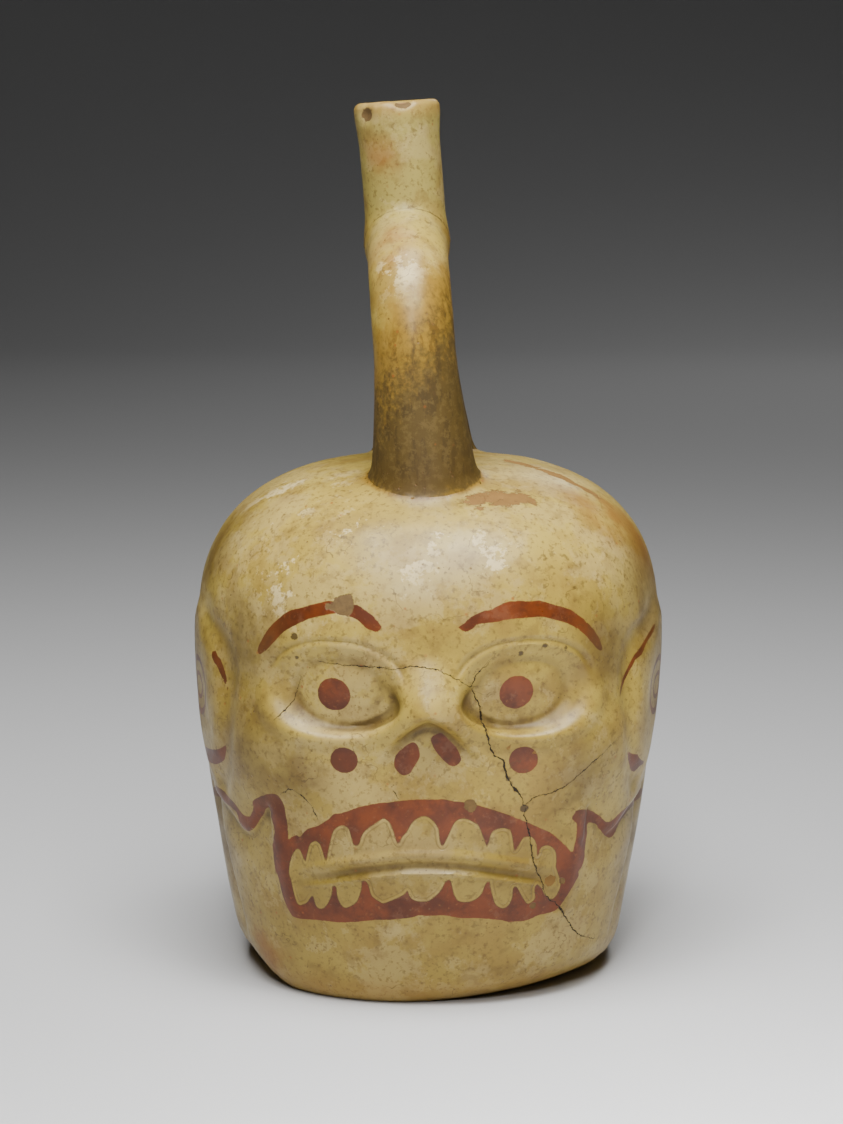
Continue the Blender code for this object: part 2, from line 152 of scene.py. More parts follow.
# Lines of the carving, on the side where degrees are positive; the other side mirrors them
JAW_NOTCH = ((69, 37), (59.5, 35.3), (51, 32.3), (45, 36.5), (40.5, 39), (37.5, 37.5))
FINGER = ((37.2, 36.5), (37.5, 30), (37.2, 24), (36, 18.5))
JAW_BACK = ((69, 35), (66, 28), (62, 15), (60, 6))
EAR_FRONT = ((66, 71), (56.5, 67), (53.5, 60), (53.5, 52), (56, 45), (61, 40.5))
EAR_BACK = ((61, 40.5), (70, 41), (80, 49), (88, 58), (86, 68), (76, 73), (66, 71))
BITE = ((-37, 22.9), (-24.7, 25.3), (-15.9, 27), (-6.9, 28.2), (0.4, 28.5), (8.7, 28), (17.8, 26.6),
        (37, 23.1))
# How the skin rises and falls across the bite: mm above the bite line, and mm out
BITE_PROFILE = ((-3.6, 0), (-2.6, -0.05), (-2.1, 0.15), (-1.4, 0.75), (-0.7, 0.35), (0.1, -0.65),
                (1.1, -1.0), (2.2, -0.65), (3.4, 0.25), (4.5, 1.0), (5.6, 0.75), (6.6, 0.15), (8.0, 0))

# Painted outlines, as mm along the widest girth and mm up
MOUTH = (
    (-45.9, 53.5), (-44.6, 54.6), (-42.5, 55.4), (-41.6, 55), (-40.7, 55.6), (-39.1, 57.4), (-36.9, 58.7),
    (-34.9, 59.3), (-30.9, 62), (-28.9, 63.9), (-26.5, 64.4), (-21.6, 66.4), (-19, 67.3), (-14.5, 68.3),
    (-11.2, 68.7), (-8, 69.2), (-4.9, 69.6), (-1.7, 69.7), (2.1, 69.7), (4.8, 69.7), (7.9, 69),
    (10.8, 68.7), (16.6, 67), (22.5, 64.8), (25.5, 63.5), (28.6, 62), (31.8, 60.5), (35.1, 58.7),
    (38.3, 57.1), (41, 55.2), (45.6, 51.1), (47.9, 49.1), (54, 48.2), (53.6, 43.4), (51.7, 42.2),
    (52.4, 40.5), (51, 38.9), (49.9, 37.2), (47.8, 34.6), (45.4, 31.1), (43.5, 29.9), (40.4, 29.5),
    (37.7, 29.4), (35.7, 28.7), (32.8, 28.1), (29.4, 28.3), (26.7, 28.4), (23.9, 29.3), (18, 30.3),
    (13.2, 30.7), (10.9, 30.8), (6.5, 31.7), (3.7, 32), (-0.6, 31.8), (-2.9, 32.1), (-4.9, 31.3),
    (-9.2, 30.6), (-13.6, 30.1), (-18.1, 29.7), (-25.7, 28.4), (-29.9, 27.9), (-34.4, 27.8), (-38.5, 27.7),
    (-42.4, 27.3), (-45.7, 27.2), (-48.1, 27.4), (-49.3, 28.9), (-50.6, 31.2), (-51.6, 34.3), (-52.3, 40.2),
    (-53.4, 42.2), (-53.2, 48.3), (-52.8, 51.5),
)
TEETH = (
    (-46.8, 42.2), (-46.4, 44.5), (-45.7, 46.8), (-44.6, 49.1), (-43.3, 50.6), (-42.5, 51), (-41.5, 50.3),
    (-40.2, 47.1), (-39.6, 48.3), (-38, 52.6), (-36.9, 53.9), (-35.7, 54.4), (-34.6, 54.1), (-33.7, 52.8),
    (-32.6, 48.6), (-32.2, 48.3), (-31.2, 52.1), (-29.6, 57.6), (-28.5, 59.3), (-27.2, 60.2), (-26, 60.4),
    (-24.7, 60), (-23.9, 58.7), (-23, 55), (-22, 54.3), (-21, 55.1), (-19.8, 58.4), (-17.6, 60.6),
    (-15.9, 61.7), (-14.2, 63.1), (-13.4, 63.5), (-12.5, 63.1), (-11.6, 62.2), (-10.6, 60), (-9.8, 57.2),
    (-9.2, 55.9), (-8.7, 55.8), (-7.7, 58.1), (-6.6, 59.2), (-4.9, 62.3), (-3.5, 63.6), (-2.2, 64.3),
    (-0.9, 64.4), (0.2, 64), (1.4, 62.9), (2.5, 61.5), (3, 60.1), (3.4, 56.7), (3.9, 55.3), (4.5, 55.3),
    (6, 58.4), (7.4, 61.7), (8.4, 63), (9.5, 63.5), (10.9, 63.6), (12.9, 62.7), (14.9, 61.3), (16.2, 58.2),
    (17.4, 55.1), (17.9, 54.5), (18.6, 57.5), (19.1, 58.7), (20.1, 59.5), (21.6, 60), (22.8, 60),
    (24.2, 59.5), (25.2, 58.5), (26, 54.8), (26.3, 53.1), (26.8, 52.5), (27.5, 53.2), (28.7, 55.6),
    (29.6, 56.4),
    (30.8, 56.5), (32, 56.3), (33, 55.4), (33.7, 54), (34.2, 52.1), (34.4, 49.8), (34.9, 50.1),
    (35.2, 51.6), (35.9, 52.5), (37, 52.8), (38.3, 52.7), (39.8, 51.9), (41.1, 50.5), (41.7, 48.8),
    (42, 46.6), (41.9, 45.1), (44.2, 40.9), (44.7, 38.6), (44.2, 36.4), (43.4, 35), (42.1, 34.2),
    (40.6, 34.9), (38.7, 36.6), (37.6, 38.4), (35.9, 39.9), (35.2, 40.3), (34.9, 39.6), (34.9, 38.2),
    (35.3, 36.5), (35.3, 35.1), (33.2, 33.9), (31.9, 34.9), (30, 37.5), (28.3, 40.1), (27.4, 40.4),
    (27, 39.5), (27.1, 37.8), (26.8, 35.8), (26, 34.1), (24.7, 33.4), (23.4, 33.6), (21.7, 34.9),
    (20.7, 36.9), (19.3, 41.5), (19.1, 42.8), (18.4, 43), (17.7, 41.9), (17, 39.7), (15.9, 37.9),
    (14.4, 36.9), (12.3, 36.3), (9.7, 36.7), (8.6, 37.9), (7.8, 39.8), (6.8, 43.7), (5.9, 43.9),
    (5.2, 43.4), (3.6, 40.1), (0.5, 37.3), (-1.4, 36.8), (-3.4, 36.9), (-5.1, 37.6), (-6, 38.9),
    (-6.5, 40.4), (-7.8, 38.9), (-11.2, 37.1), (-14.1, 35.8), (-15.5, 36.3), (-16.9, 37.2), (-18, 38.4),
    (-18.7, 41.6), (-19.4, 42.9), (-20.2, 43.1), (-20.9, 42.7), (-20.9, 40.8), (-22.5, 36.5), (-24, 34.8),
    (-25.6, 33.8), (-27.1, 33.2), (-28.4, 33.9), (-29.2, 35.6), (-29.6, 37.6), (-29.5, 39.6), (-30.3, 40.5),
    (-31, 39.8), (-31.2, 38.1), (-32.2, 35.9), (-33.4, 33.9), (-34.9, 32.4), (-36.3, 31.8), (-37.7, 32.2),
    (-38.3, 33.9), (-38.5, 35.4), (-39.1, 35.8), (-41.3, 33.3), (-42.8, 32.5), (-44.4, 32), (-45.4, 33.4),
    (-46.2, 38.1), (-46.3, 39.7),
)
JAW_LEFT = (
    (-47.6, 48.5), (-46.2, 52), (-45.6, 55.9), (-45.5, 62.5), (-45.9, 65.3), (-46.9, 67.4), (-47.9, 68.2),
    (-48.9, 68.3), (-51.3, 67.8), (-54.5, 66.6), (-58.3, 64.8), (-60.1, 63.2), (-60, 62), (-61.8, 59.5),
    (-63.6, 58), (-66.5, 57.8), (-69, 58.8), (-72.3, 61), (-78.5, 62.3), (-83.4, 63), (-89.7, 62.9),
    (-97.2, 61), (-103.2, 58.6), (-102.7, 57.2), (-94.7, 57.7), (-85.3, 58.6), (-78.8, 59), (-74, 58.4),
    (-71.4, 57.5), (-70.5, 54.9), (-69.3, 52.4), (-66, 52.5), (-62.5, 54.3), (-59.5, 57.3), (-57, 59.7),
    (-54.8, 62), (-53.5, 62.6), (-51.9, 61.8), (-52, 59.9), (-51.5, 57.5), (-51.3, 55), (-52.8, 51.5),
    (-52.2, 48.5),
)
JAW_RIGHT = (
    (48.4, 46), (47.9, 49.1), (48.6, 54.5), (48.4, 57), (47.9, 58.8), (46.5, 59.8), (45.9, 61), (46.6, 62),
    (46.9, 62.9), (49.8, 63), (55.1, 61.5), (59.6, 59), (62.5, 56.8), (64.1, 56.1), (65.4, 55.9),
    (67.1, 56.1), (71.8, 57.7), (75, 58.3), (78.4, 58.9), (87.4, 59.6), (95.7, 60.2), (102.7, 59),
    (103.2, 57.2), (96.3, 56.4), (89.4, 56.2), (84, 55.9), (80.3, 55.2), (77.3, 54.3), (75.1, 53.1),
    (72.7, 50.6), (71.1, 49.7), (69.4, 49.5), (65.5, 51.3), (61.3, 54.5), (60, 55.8), (55.2, 57.1),
    (55.1, 53.7), (54.5, 51.7), (53.4, 46),
)
BROW_LEFT = (
    (-54.3, 112.9), (-53.6, 114.9), (-50.6, 119.7), (-48.4, 122.1), (-45.6, 124.6), (-43, 126.4),
    (-39.6, 127.3), (-37.3, 128.2), (-31.2, 130), (-29.3, 130), (-26.1, 129.6), (-22.5, 129.2),
    (-21.3, 129.2), (-17.5, 126.9), (-15.7, 125.4), (-14.4, 123.9), (-13.5, 122.1), (-13.7, 121.2),
    (-14.9, 120.9), (-16.5, 121.7), (-18.3, 122.3), (-21.1, 124.8), (-22.9, 125.5), (-24.9, 126),
    (-27.7, 126.2), (-29.9, 126.1), (-33.3, 125.2), (-35.3, 124.7), (-37.8, 123.6), (-43.6, 120.3),
    (-45.2, 119), (-48.8, 115.2), (-50.7, 113.4), (-53, 111.7), (-54, 112),
)
BROW_RIGHT = (
    (8.4, 122.3), (9, 123.1), (10.2, 123.7), (12, 125.5), (14.6, 126.9), (17, 127.8), (18.8, 128.1),
    (23.2, 129.9), (25.3, 130.2), (28, 130.2), (31.3, 129.9), (34.1, 130), (37.6, 128.9), (43, 127),
    (45.5, 125.6), (50.3, 121.7), (54, 117.2), (55.1, 115.1), (55.8, 113.1), (54.8, 112.6), (53, 113.8),
    (48.9, 118.1), (46.5, 120.1), (44.3, 121.6), (41.4, 122.9), (35.8, 124.8), (33.3, 125.1), (27.6, 125),
    (22.9, 124.7), (20.9, 124.3), (16.8, 123.9), (14.2, 123.2), (12.2, 121.9), (10.3, 121.1), (9, 121.3),
)
NOSTRIL_LEFT = (
    (-4.6, 87.4), (-3.5, 86.9), (-2.9, 85.5), (-2.5, 83.5), (-3.1, 81.5), (-4.3, 79.8), (-5.4, 77.7),
    (-6.9, 77), (-8.4, 77.4), (-9.8, 78.8), (-10.3, 80.5), (-10.1, 82.5), (-9, 84.3), (-6, 86.9),
)
NOSTRIL_RIGHT = (
    (3.3, 90.3), (4.3, 90.1), (7, 87.2), (8.4, 85.7), (9.8, 82.5), (9.5, 81.1), (8.4, 80.1), (7.3, 79.9),
    (5.7, 80.6), (4, 82.3), (2.4, 84.3), (1.2, 86.4), (0.6, 88.4), (1.2, 89.3), (2.3, 90),
)
EAR_ARC_LEFT = (
    (-77.8, 109.5), (-76.6, 108.9), (-75.6, 107.6), (-74.5, 107), (-72.4, 103.3), (-70.9, 99.4),
    (-70.1, 97.2), (-71.1, 98), (-74.3, 102.4), (-75.8, 104.5), (-77.2, 105.6), (-78.6, 107.2),
    (-78.8, 108.6),
)
EAR_ARC_RIGHT = (
    (90.5, 116.2), (84.3, 114.2), (80.2, 112.3), (77, 110.2), (74, 108.1), (70.4, 103.8), (66.4, 99.8),
    (64.6, 98.4), (64, 96.7), (68.3, 99.8), (72.8, 104.6), (74.7, 106.9), (76.9, 107.7), (80, 110.5),
    (81.8, 111.7), (85.3, 112.9), (88.1, 114), (90.2, 115.4),
)
LOBE_LEFT = (
    (-92.3, 75.4), (-88.2, 75.6), (-79.1, 77.1), (-74.6, 78.5), (-71.3, 80.2), (-71.3, 79.1), (-72.9, 76.4),
    (-74.8, 74.3), (-81.2, 71.7), (-85.6, 71.1), (-90.3, 70.9), (-94.2, 72.5), (-94.2, 74.2),
)
LOBE_RIGHT = (
    (69.4, 78.3), (74.1, 76.6), (77.1, 75.9), (79.1, 74.3), (82.7, 72.8), (85.4, 71.9), (84.8, 71),
    (81.4, 70.9), (81, 70.1), (79.1, 69.6), (75.6, 70.9), (73.1, 73.2), (70.4, 76),
)
CHIP_BROW = (
    (-31.5, 128.5), (-31.2, 129.4), (-30.3, 130.2), (-26.2, 131.9), (-25.3, 132.2), (-24, 131.7),
    (-23, 131), (-22.4, 129), (-23.3, 126.1), (-25.8, 125.9), (-27.5, 126.1), (-28.2, 127.1),
    (-29.4, 127.8), (-30.7, 128),
)
# Painted discs as centre and radius, then the ears' painted rings, which have half their line's width too
EYE_DISCS = ((-29.1, 101.2, 5.2), (27.1, 101.9, 5.3))
CHEEK_DISCS = ((-25.2, 81.3, 4.1), (28.4, 81.2, 4.3))
EAR_RING = (95.7, 95.2, 8.8, 1.1)
EAR_RING_INNER = (97.2, 94.8, 3.9, 0.8)

# Cracks, each as its half width in mm and its places
CRACKS = (
    (0.12, ((-34.7, 111.2), (-24.9, 110.5), (-15.1, 110.5), (-10.3, 110), (-4.5, 111.1), (3.1, 110),
            (8.2, 107.1), (13, 103.8))),
    (0.26, ((13, 103.8), (15.1, 99.6), (16.3, 96.5), (17.2, 90.3), (19.3, 83.7), (22.3, 81.1), (23.9, 75.4),
            (28, 69.5), (29.1, 65.9))),
    (0.09, ((13, 103.8), (14.3, 108), (18.5, 112.2))),
    (0.10, ((29.1, 65.9), (31.6, 68.9), (41.3, 71.6), (51.3, 79.5), (60.9, 85.2))),
    (0.16, ((29.1, 65.9), (29.6, 62.3), (31.4, 57), (32.3, 52.4), (33.6, 47.1), (37.5, 40.4), (39.5, 35.9),
            (44.4, 32.1), (48.2, 28.2), (54.7, 22.1), (58.4, 19.4), (69.4, 15.6))),
    (0.10, ((-40, 106), (-42.7, 97.5), (-46, 91.6))),
    (0.10, ((-47.1, 67.8), (-42.7, 70.5), (-38.6, 68.6), (-36.3, 65.9), (-34.1, 61.2))),
    (0.09, ((-10.8, 72.5), (-8.7, 69.4))),
)

# Blending, wear, dirt and painted shade, in metres where it doesn't say mm, with the axis at the origin
FOOT_FILLET = 0.005
SPOUT_FILLET = 0.004
BORE_MARGIN = 0.0032
# Lumps in the skin: their height, size and seed
LUMPS = ((0.00030, 0.024, 3.1), (0.00007, 0.006, 7.7))
LUMPS_FROM = 0.006
# Chips on the lip: degrees round from the front, depth below the rim, half width and half height
RIM_CHIPS = ((-47, 0.0035, 0.0042, 0.0042), (9, 0.0008, 0.0050, 0.0030))
RIM_CHIP_DEPTH = 0.0013
# How far off the crown the arm stops taking paint, where its grime ends, and how far that fades down
ARM_COLOUR_OFF = 0.0012
ARM_COLOUR_REACH = 0.004
ARM_GRIME_TOP = 0.240
ARM_GRIME_FADE = 0.062
# How far the arm's stain spreads at its foot
FOOT_STAIN = 0.0040
# How far round a place its hollowness is measured
HOLLOW_REACH = 0.0035
# Small marks on the face, as along, up and radius in mm: pits, flaked slip and chipped paint
PITS = ((-40.8, 118.5, 1.2), (23.9, 75.4, 1.1), (29.1, 65.8, 1.3), (28.0, 114.0, 1.0), (35.2, 116.2, 0.8),
        (41.7, 114.7, 0.8), (-40.4, 112.0, 0.6))
FLAKES = ((40.5, 40.9, 3.0), (31.6, 83.5, 1.6), (23.9, 85.2, 1.8))
PAINT_CHIPS = ((12.5, 67.6, 2.0), (35.1, 33.1, 1.2), (45.1, 40.1, 1.2))
# Scuffs on the crown, as both ends and a radius
SCUFFS = (((0.025, -0.0041, 0.1656), (0.0423, -0.016, 0.1615), 0.0058),
          ((0.0444, -0.0182, 0.1604), (0.0537, -0.0196, 0.1558), 0.0040),
          ((0.0148, -0.0484, 0.1582), (0.028, -0.0435, 0.1585), 0.0085))
# Stained, shaded and pale places: x, y, z and radius
OCHRE_SPOTS = ((0.056, -0.027, 0.152, 0.024), (0.068, -0.018, 0.141, 0.024), (-0.013, -0.030, 0.236, 0.015),
               (-0.052, -0.042, 0.012, 0.014), (-0.014, -0.008, 0.262, 0.012))
SHADE_SPOTS = ((-0.057, -0.055, 0.112, 0.030), (0.056, -0.0565, 0.112, 0.026), (0.076, 0.0, 0.105, 0.045),
               (-0.0426, -0.069, 0.077, 0.020), (-0.055, -0.061, 0.085, 0.030), (-0.076, 0.0, 0.105, 0.045),
               (0.050, -0.064, 0.076, 0.022), (0.071, -0.029, 0.124, 0.035), (-0.070, -0.020, 0.140, 0.030),
               (-0.066, -0.020, 0.047, 0.035), (0.066, -0.020, 0.047, 0.035), (-0.001, -0.041, 0.161, 0.022))
PALE_SPOTS = ((-0.0148, -0.0647, 0.1464, 0.030), (-0.0394, -0.0632, 0.1369, 0.026), (-0.01, 0.02, 0.26, 0.04),
              (0.0005, -0.058, 0.1532, 0.022), (0.0157, -0.0679, 0.1423, 0.022),
              (-0.045, -0.030, 0.158, 0.030), (-0.01, -0.04, 0.235, 0.02))
# How far from an outline or crack distances are measured, and what is stored farther off, in mm
OUTLINE_REACH = 8.0
OFF_MARK = -8
OFF_SEAM = 9

# The studio: floor colour, its front edge and half width, and where and how roundly it sweeps up
FLOOR_COLOUR = (0.55, 0.55, 0.55, 1.0)
FLOOR_ROUGHNESS = 0.9
FLOOR_SPECULAR = 0.1
FLOOR_FRONT = -14.0
FLOOR_SIDE = 14.0
SWEEP_START = 2.5
SWEEP_RADIUS = 3.0
SWEEP_STEPS = 48
WORLD_STRENGTH = 0.017
# Soft lamps: name, place, what they face, side in metres, watts and spread in degrees
LAMPS = (("top", (0.0, -0.30, 0.88), (0, 0, 0.13), 0.6, 17.5, 180),
         ("key", (-0.12, -1.60, 1.25), (0, 0, 0.13), 0.28, 14, 180),
         ("front_floor", (0.18, -0.45, 0.9), (0.18, -0.45, 0), 0.3, 3.5, 50),
         ("back", (0.6, 2.3, 1.3), (0.6, 1.7, 0), 0.5, 3.4, 180))
CAMERA_PLACE = (-0.0021, -0.9985, 0.2808)
CAMERA_DOWN = 8.49
CAMERA_LENS = 99.0
CAMERA_SENSOR = 36.0
CAMERA_REACH = 100.0
SHARP_DEGREES = 50


def smooth(x):
    """0 below 0, 1 above 1 and an S curve between."""
    x = np.clip(x, 0, 1)
    return x * x * (3 - 2 * x)


def swell(along, height, centre, half_width, half_height, power=2.0):
    """A dome that is 1 at its centre and 0 at its edge."""
    across = np.abs(along - centre[0]) / half_width
    up = np.abs(height - centre[1]) / half_height
    return smooth(1 - (across**power + up**power) ** (1 / power))


def curve_through(points, closed=False, steps=4):
    """Points along the smooth curve through these points."""
    points = np.array(points, float)
    if closed:
        ends = np.vstack([points[-1], points, points[0], points[1]])
    else:
        ends = np.vstack([2 * points[0] - points[1], points, 2 * points[-1] - points[-2]])
    curve = []
    for before, start, end, after in zip(ends, ends[1:], ends[2:], ends[3:]):
        for t in np.arange(steps) / steps:
            bend = 2 * before - 5 * start + 4 * end - after
            twist = 3 * start - before - 3 * end + after
            curve.append(start + 0.5 * ((end - before) * t + bend * t**2 + twist * t**3))
    return np.array(curve if closed else [*curve, points[-1]])


def line_of(pairs):
    """The smooth line through these spots."""
    return curve_through([spot(*pair) for pair in pairs])


def from_line(along, height, line):
    """Distance from each place to a line, less than 0 on its right, and how far along the line, 0 to 1."""
    nearest = np.full(along.shape, np.inf)
    share = np.zeros(along.shape)
    steps = len(line) - 1
    for i, (start, run) in enumerate(zip(line, np.diff(line, axis=0))):
        t = ((along - start[0]) * run[0] + (height - start[1]) * run[1]) / (run @ run)
        t = np.clip(t, 0, 1)
        away = along - start[0] - t * run[0]
        up = height - start[1] - t * run[1]
        distance = np.hypot(away, up) * np.where(run[0] * up - run[1] * away < 0, -1, 1)
        closer = np.abs(distance) < np.abs(nearest)
        nearest = np.where(closer, distance, nearest)
        share = np.where(closer, (i + t) / steps, share)
    return nearest, share


def eye_relief(along, height, centre):
    """A sunken socket with an eyeball on its floor, a brow over it and a cheek rim under it."""
    across = (along - centre[0]) / EYE_HALF_WIDTH
    up = height - centre[1]
    up = np.where(up > 0, up / EYE_UPPER_HEIGHT, up / EYE_LOWER_HEIGHT)
    out = (np.abs(across) ** 2.2 + np.abs(up) ** 2.2) ** (1 / 2.2)
    below = smooth(0.5 - up)
    outward = np.clip(across * np.sign(centre[0]), -1, 1)
    wall = 0.50 - 0.20 * below + 0.24 * below * outward
    depth = EYE_DEPTH * (0.72 + 0.28 * below)
    socket = -depth * smooth((1.1 - out) / wall)
    eyeball = EYEBALL_RISE * np.clip(1 - (out / 0.95) ** 2, 0, 1) ** 1.5
    rim = CHEEK_RIM_RISE * smooth(1 - np.abs(out - 1.16) / 0.3) * below
    crease = -EYE_CREASE_DEPTH * smooth(1 - np.abs(out - 1.12) / 0.09) * smooth(2 * up - 0.2)
    lid = EYE_LID_RISE * smooth(1 - np.abs(out - 0.80) / 0.12)
    return socket + eyeball + rim + crease + lid


def nose_relief(along, height):
    """A ridged nose that ends above a flat nasal opening under an inverted V."""
    off_axis = np.abs(along)
    above = np.clip((NOSE_TOP - height) / (NOSE_TOP - NOSE_TIP), 0, 1)
    below = np.clip((NOSE_TIP - height) / (NOSE_TIP - NOSE_FOOT), 0, 1)
    width = NOSE_TOP_HALF_WIDTH + (NOSE_TIP_HALF_WIDTH - NOSE_TOP_HALF_WIDTH) * above
    width = width + (NOSE_FOOT_HALF_WIDTH - NOSE_TIP_HALF_WIDTH) * below
    crest = NOSE_TOP_CREST + (NOSE_TIP_CREST - NOSE_TOP_CREST) * above
    tent = np.clip(1 - (np.hypot(off_axis / width, crest) - crest) * 1.25, 0, 1) ** 1.5
    nose = NOSE_HEIGHT * smooth(above) * (1 - below**1.5) * tent
    opening_top = NOSE_TIP - OPENING_DROP * (off_axis / OPENING_HALF_WIDTH) ** 1.5
    return nose * smooth(0.5 + (height - opening_top) / OPENING_EDGE)


def mouth_relief(along, height):
    """The line where the teeth meet: a groove between two rolls."""
    line = line_of(BITE)
    bite = np.interp(along, line[:, 0], line[:, 1])
    middle = smooth((line[-1, 0] - np.abs(along)) / BITE_FADE)
    across = curve_through(BITE_PROFILE, steps=6) / 1000
    return middle * np.interp(height - bite, across[:, 0], across[:, 1])


def step_down(beyond, fade):
    """A step down beyond a line, which dies away further off."""
    return -smooth(beyond / JAW_STEP_WIDTH) * smooth(1 - np.abs(beyond) / fade)


def jaw_relief(along, height):
    """The cheekbone overhanging the jaw's notch, the jaw's finger beside the mouth and its back edge."""
    side = np.abs(along)
    notch, share = from_line(side, height, line_of(JAW_NOTCH))
    finger, _ = from_line(side, height, line_of(FINGER))
    back, back_share = from_line(side, height, line_of(JAW_BACK))
    relief = JAW_STEP * step_down(notch, JAW_STEP_FADE) * smooth(4 - 4 * share)
    relief += FINGER_RISE * smooth(1 - np.abs(finger) / FINGER_HALF_WIDTH)
    return relief + JAW_BACK_STEP * step_down(back, JAW_BACK_FADE) * smooth(2.4 - 2.4 * back_share)


def ear_relief(along, height):
    """A low, flat ear set off from the face by a crease along its front."""
    side = np.abs(along)
    crease, _ = from_line(side, height, line_of(EAR_FRONT))
    rear, _ = from_line(side, height, line_of(EAR_BACK))
    within = np.where(np.abs(crease) < np.abs(rear), crease, rear)
    plate = smooth(0.5 + within / EAR_EDGE)
    groove = smooth(1 - np.abs(crease) / EAR_CREASE_HALF_WIDTH)
    hollow = swell(side, height, EAR_HOLLOW, EAR_HOLLOW_HALF_WIDTH, EAR_HOLLOW_HALF_HEIGHT)
    return EAR_RISE * plate - EAR_CREASE_DEPTH * groove - EAR_HOLLOW_DEPTH * hollow


def broad_relief(along, height):
    """The skull's larger forms."""
    side = np.abs(along)
    relief = MUZZLE_RISE * swell(along, height, MUZZLE, MUZZLE_HALF_WIDTH, MUZZLE_HALF_HEIGHT)
    relief += CHEEK_RISE * swell(side, height, CHEEK, CHEEK_HALF_WIDTH, CHEEK_HALF_HEIGHT, 2.6)
    relief -= TEMPLE_DEPTH * swell(side, height, TEMPLE, TEMPLE_HALF_WIDTH, TEMPLE_HALF_HEIGHT)
    for centre in EYES:
        relief += eye_relief(along, height, centre)
    return relief


def carved_relief(along, height):
    """Everything that stands out of the plain body or is cut into it."""
    fine = nose_relief(along, height) + mouth_relief(along, height)
    sides = jaw_relief(along, height) + ear_relief(along, height)
    return broad_relief(along, height) + fine + sides


def inner_relief(along, height):
    """The carving as the inside of the wall follows it: the lowest within one wall of each place."""
    lowest = carved_relief(along, height)
    for turn in np.linspace(0, 2 * math.pi, DIRECTIONS, endpoint=False):
        near = carved_relief(along + BODY_WALL * math.cos(turn), height + BODY_WALL * math.sin(turn))
        lowest = np.minimum(lowest, near)
    return lowest


def plain_radius(angle, inset=0.0):
    """Distance from the body's axis to its widest outline, seen from above; angle 0 faces front."""
    across, ahead = np.abs(np.sin(angle)), np.cos(angle)
    depth = np.where(ahead > 0, FACE_DEPTH, BACK_DEPTH) - inset
    n = SECTION_SQUARENESS
    return ((across / (HALF_WIDTH - inset)) ** n + (np.abs(ahead) / depth) ** n) ** (-1 / n)


def crown_squareness(angle):
    """The crown is squarest on the right, and rounder at the front and back."""
    to_right = smooth(0.5 + np.sin(angle))
    side = CROWN_SQUARENESS_LEFT + (CROWN_SQUARENESS_RIGHT - CROWN_SQUARENESS_LEFT) * to_right
    return side + (CROWN_SQUARENESS_FRONT - side) * np.cos(angle) ** 2


def girth(angle, height, inset=0.0):
    """Distance from the body's axis to its plain surface, which tapers down and closes over the crown."""
    down = np.clip((WIDEST_HEIGHT - height) / WIDEST_HEIGHT, 0, 1)
    up = np.clip((height - WIDEST_HEIGHT) / (CROWN_RISE - inset), 0, 1)
    n = crown_squareness(angle)
    return plain_radius(angle, inset) * (1 - TAPER * down**TAPER_CURVE) * (1 - up**n) ** (1 / n)


def base_edge(angle):
    """How far in and how high the base's rounded edge reaches at these angles."""
    reach_in = np.full(angle.shape, BASE_EDGE_IN)
    reach_up = np.full(angle.shape, BASE_EDGE_UP)
    for degrees, half_width, more_in, more_up in WORN_EDGES:
        worn = smooth(1 - np.abs(np.degrees(angle) - degrees) / half_width)
        reach_in += more_in * worn
        reach_up += more_up * worn
    return reach_in, reach_up


def edge_drawn_in(angle, height):
    """How far the base's rounded edge draws the surface in at these heights."""
    reach_in, reach_up = base_edge(angle)
    below = np.clip(1 - height / reach_up, 0, 1)
    return reach_in * (1 - np.sqrt(1 - below**2))


def around(angle, radius, height):
    """Points at these angles, distances from the axis and heights."""
    height = np.broadcast_to(height, radius.shape)
    return np.stack([radius * np.sin(angle), -radius * np.cos(angle), height], axis=1)


def spaced(spans):
    """Evenly spaced values from one span's end to the next, from (end, steps) pairs."""
    values = [spans[0][0]]
    for (start, _), (end, steps) in zip(spans, spans[1:]):
        values += list(np.linspace(start, end, steps + 1)[1:])
    return np.array(values)


def crown_levels(start, rings, top):
    """Heights over the widest girth, as shares of the rise: closer together near the top."""
    first = math.asin(start ** (CROWN_SQUARENESS_LEFT / 2))
    turns = np.linspace(first, math.pi / 2, rings + 1)[1:]
    return np.minimum(np.sin(turns) ** (2 / CROWN_SQUARENESS_LEFT), top)


def body_rings():
    """The outside of the body, from the flat underside up to the crown."""
    half = np.radians(spaced(COLUMN_SPANS))
    angle = np.concatenate([-half[:0:-1], half[:-1]])
    along = angle * HALF_WIDTH
    _, edge_up = base_edge(angle)
    turns = np.linspace(0, math.pi / 2, EDGE_RINGS + 1)[:-1]
    heights = [edge_up * (1 - math.cos(turn)) for turn in turns]
    levels = spaced(((0, 0), *RING_SPANS)) / 100 * BODY_HEIGHT
    first = levels[RING_SPANS[0][1]]
    heights += [level + edge_up * np.clip(1 - level / first, 0, 1) for level in levels]
    start = (levels[-1] - WIDEST_HEIGHT) / CROWN_RISE
    rises = crown_levels(start, CROWN_RINGS, CROWN_END)
    heights += [np.full(angle.shape, WIDEST_HEIGHT + CROWN_RISE * rise) for rise in rises]
    rings = []
    for height in heights:
        out = girth(angle, height) - edge_drawn_in(angle, height) + carved_relief(along, height)
        rings.append(around(angle, out, height))
    return rings


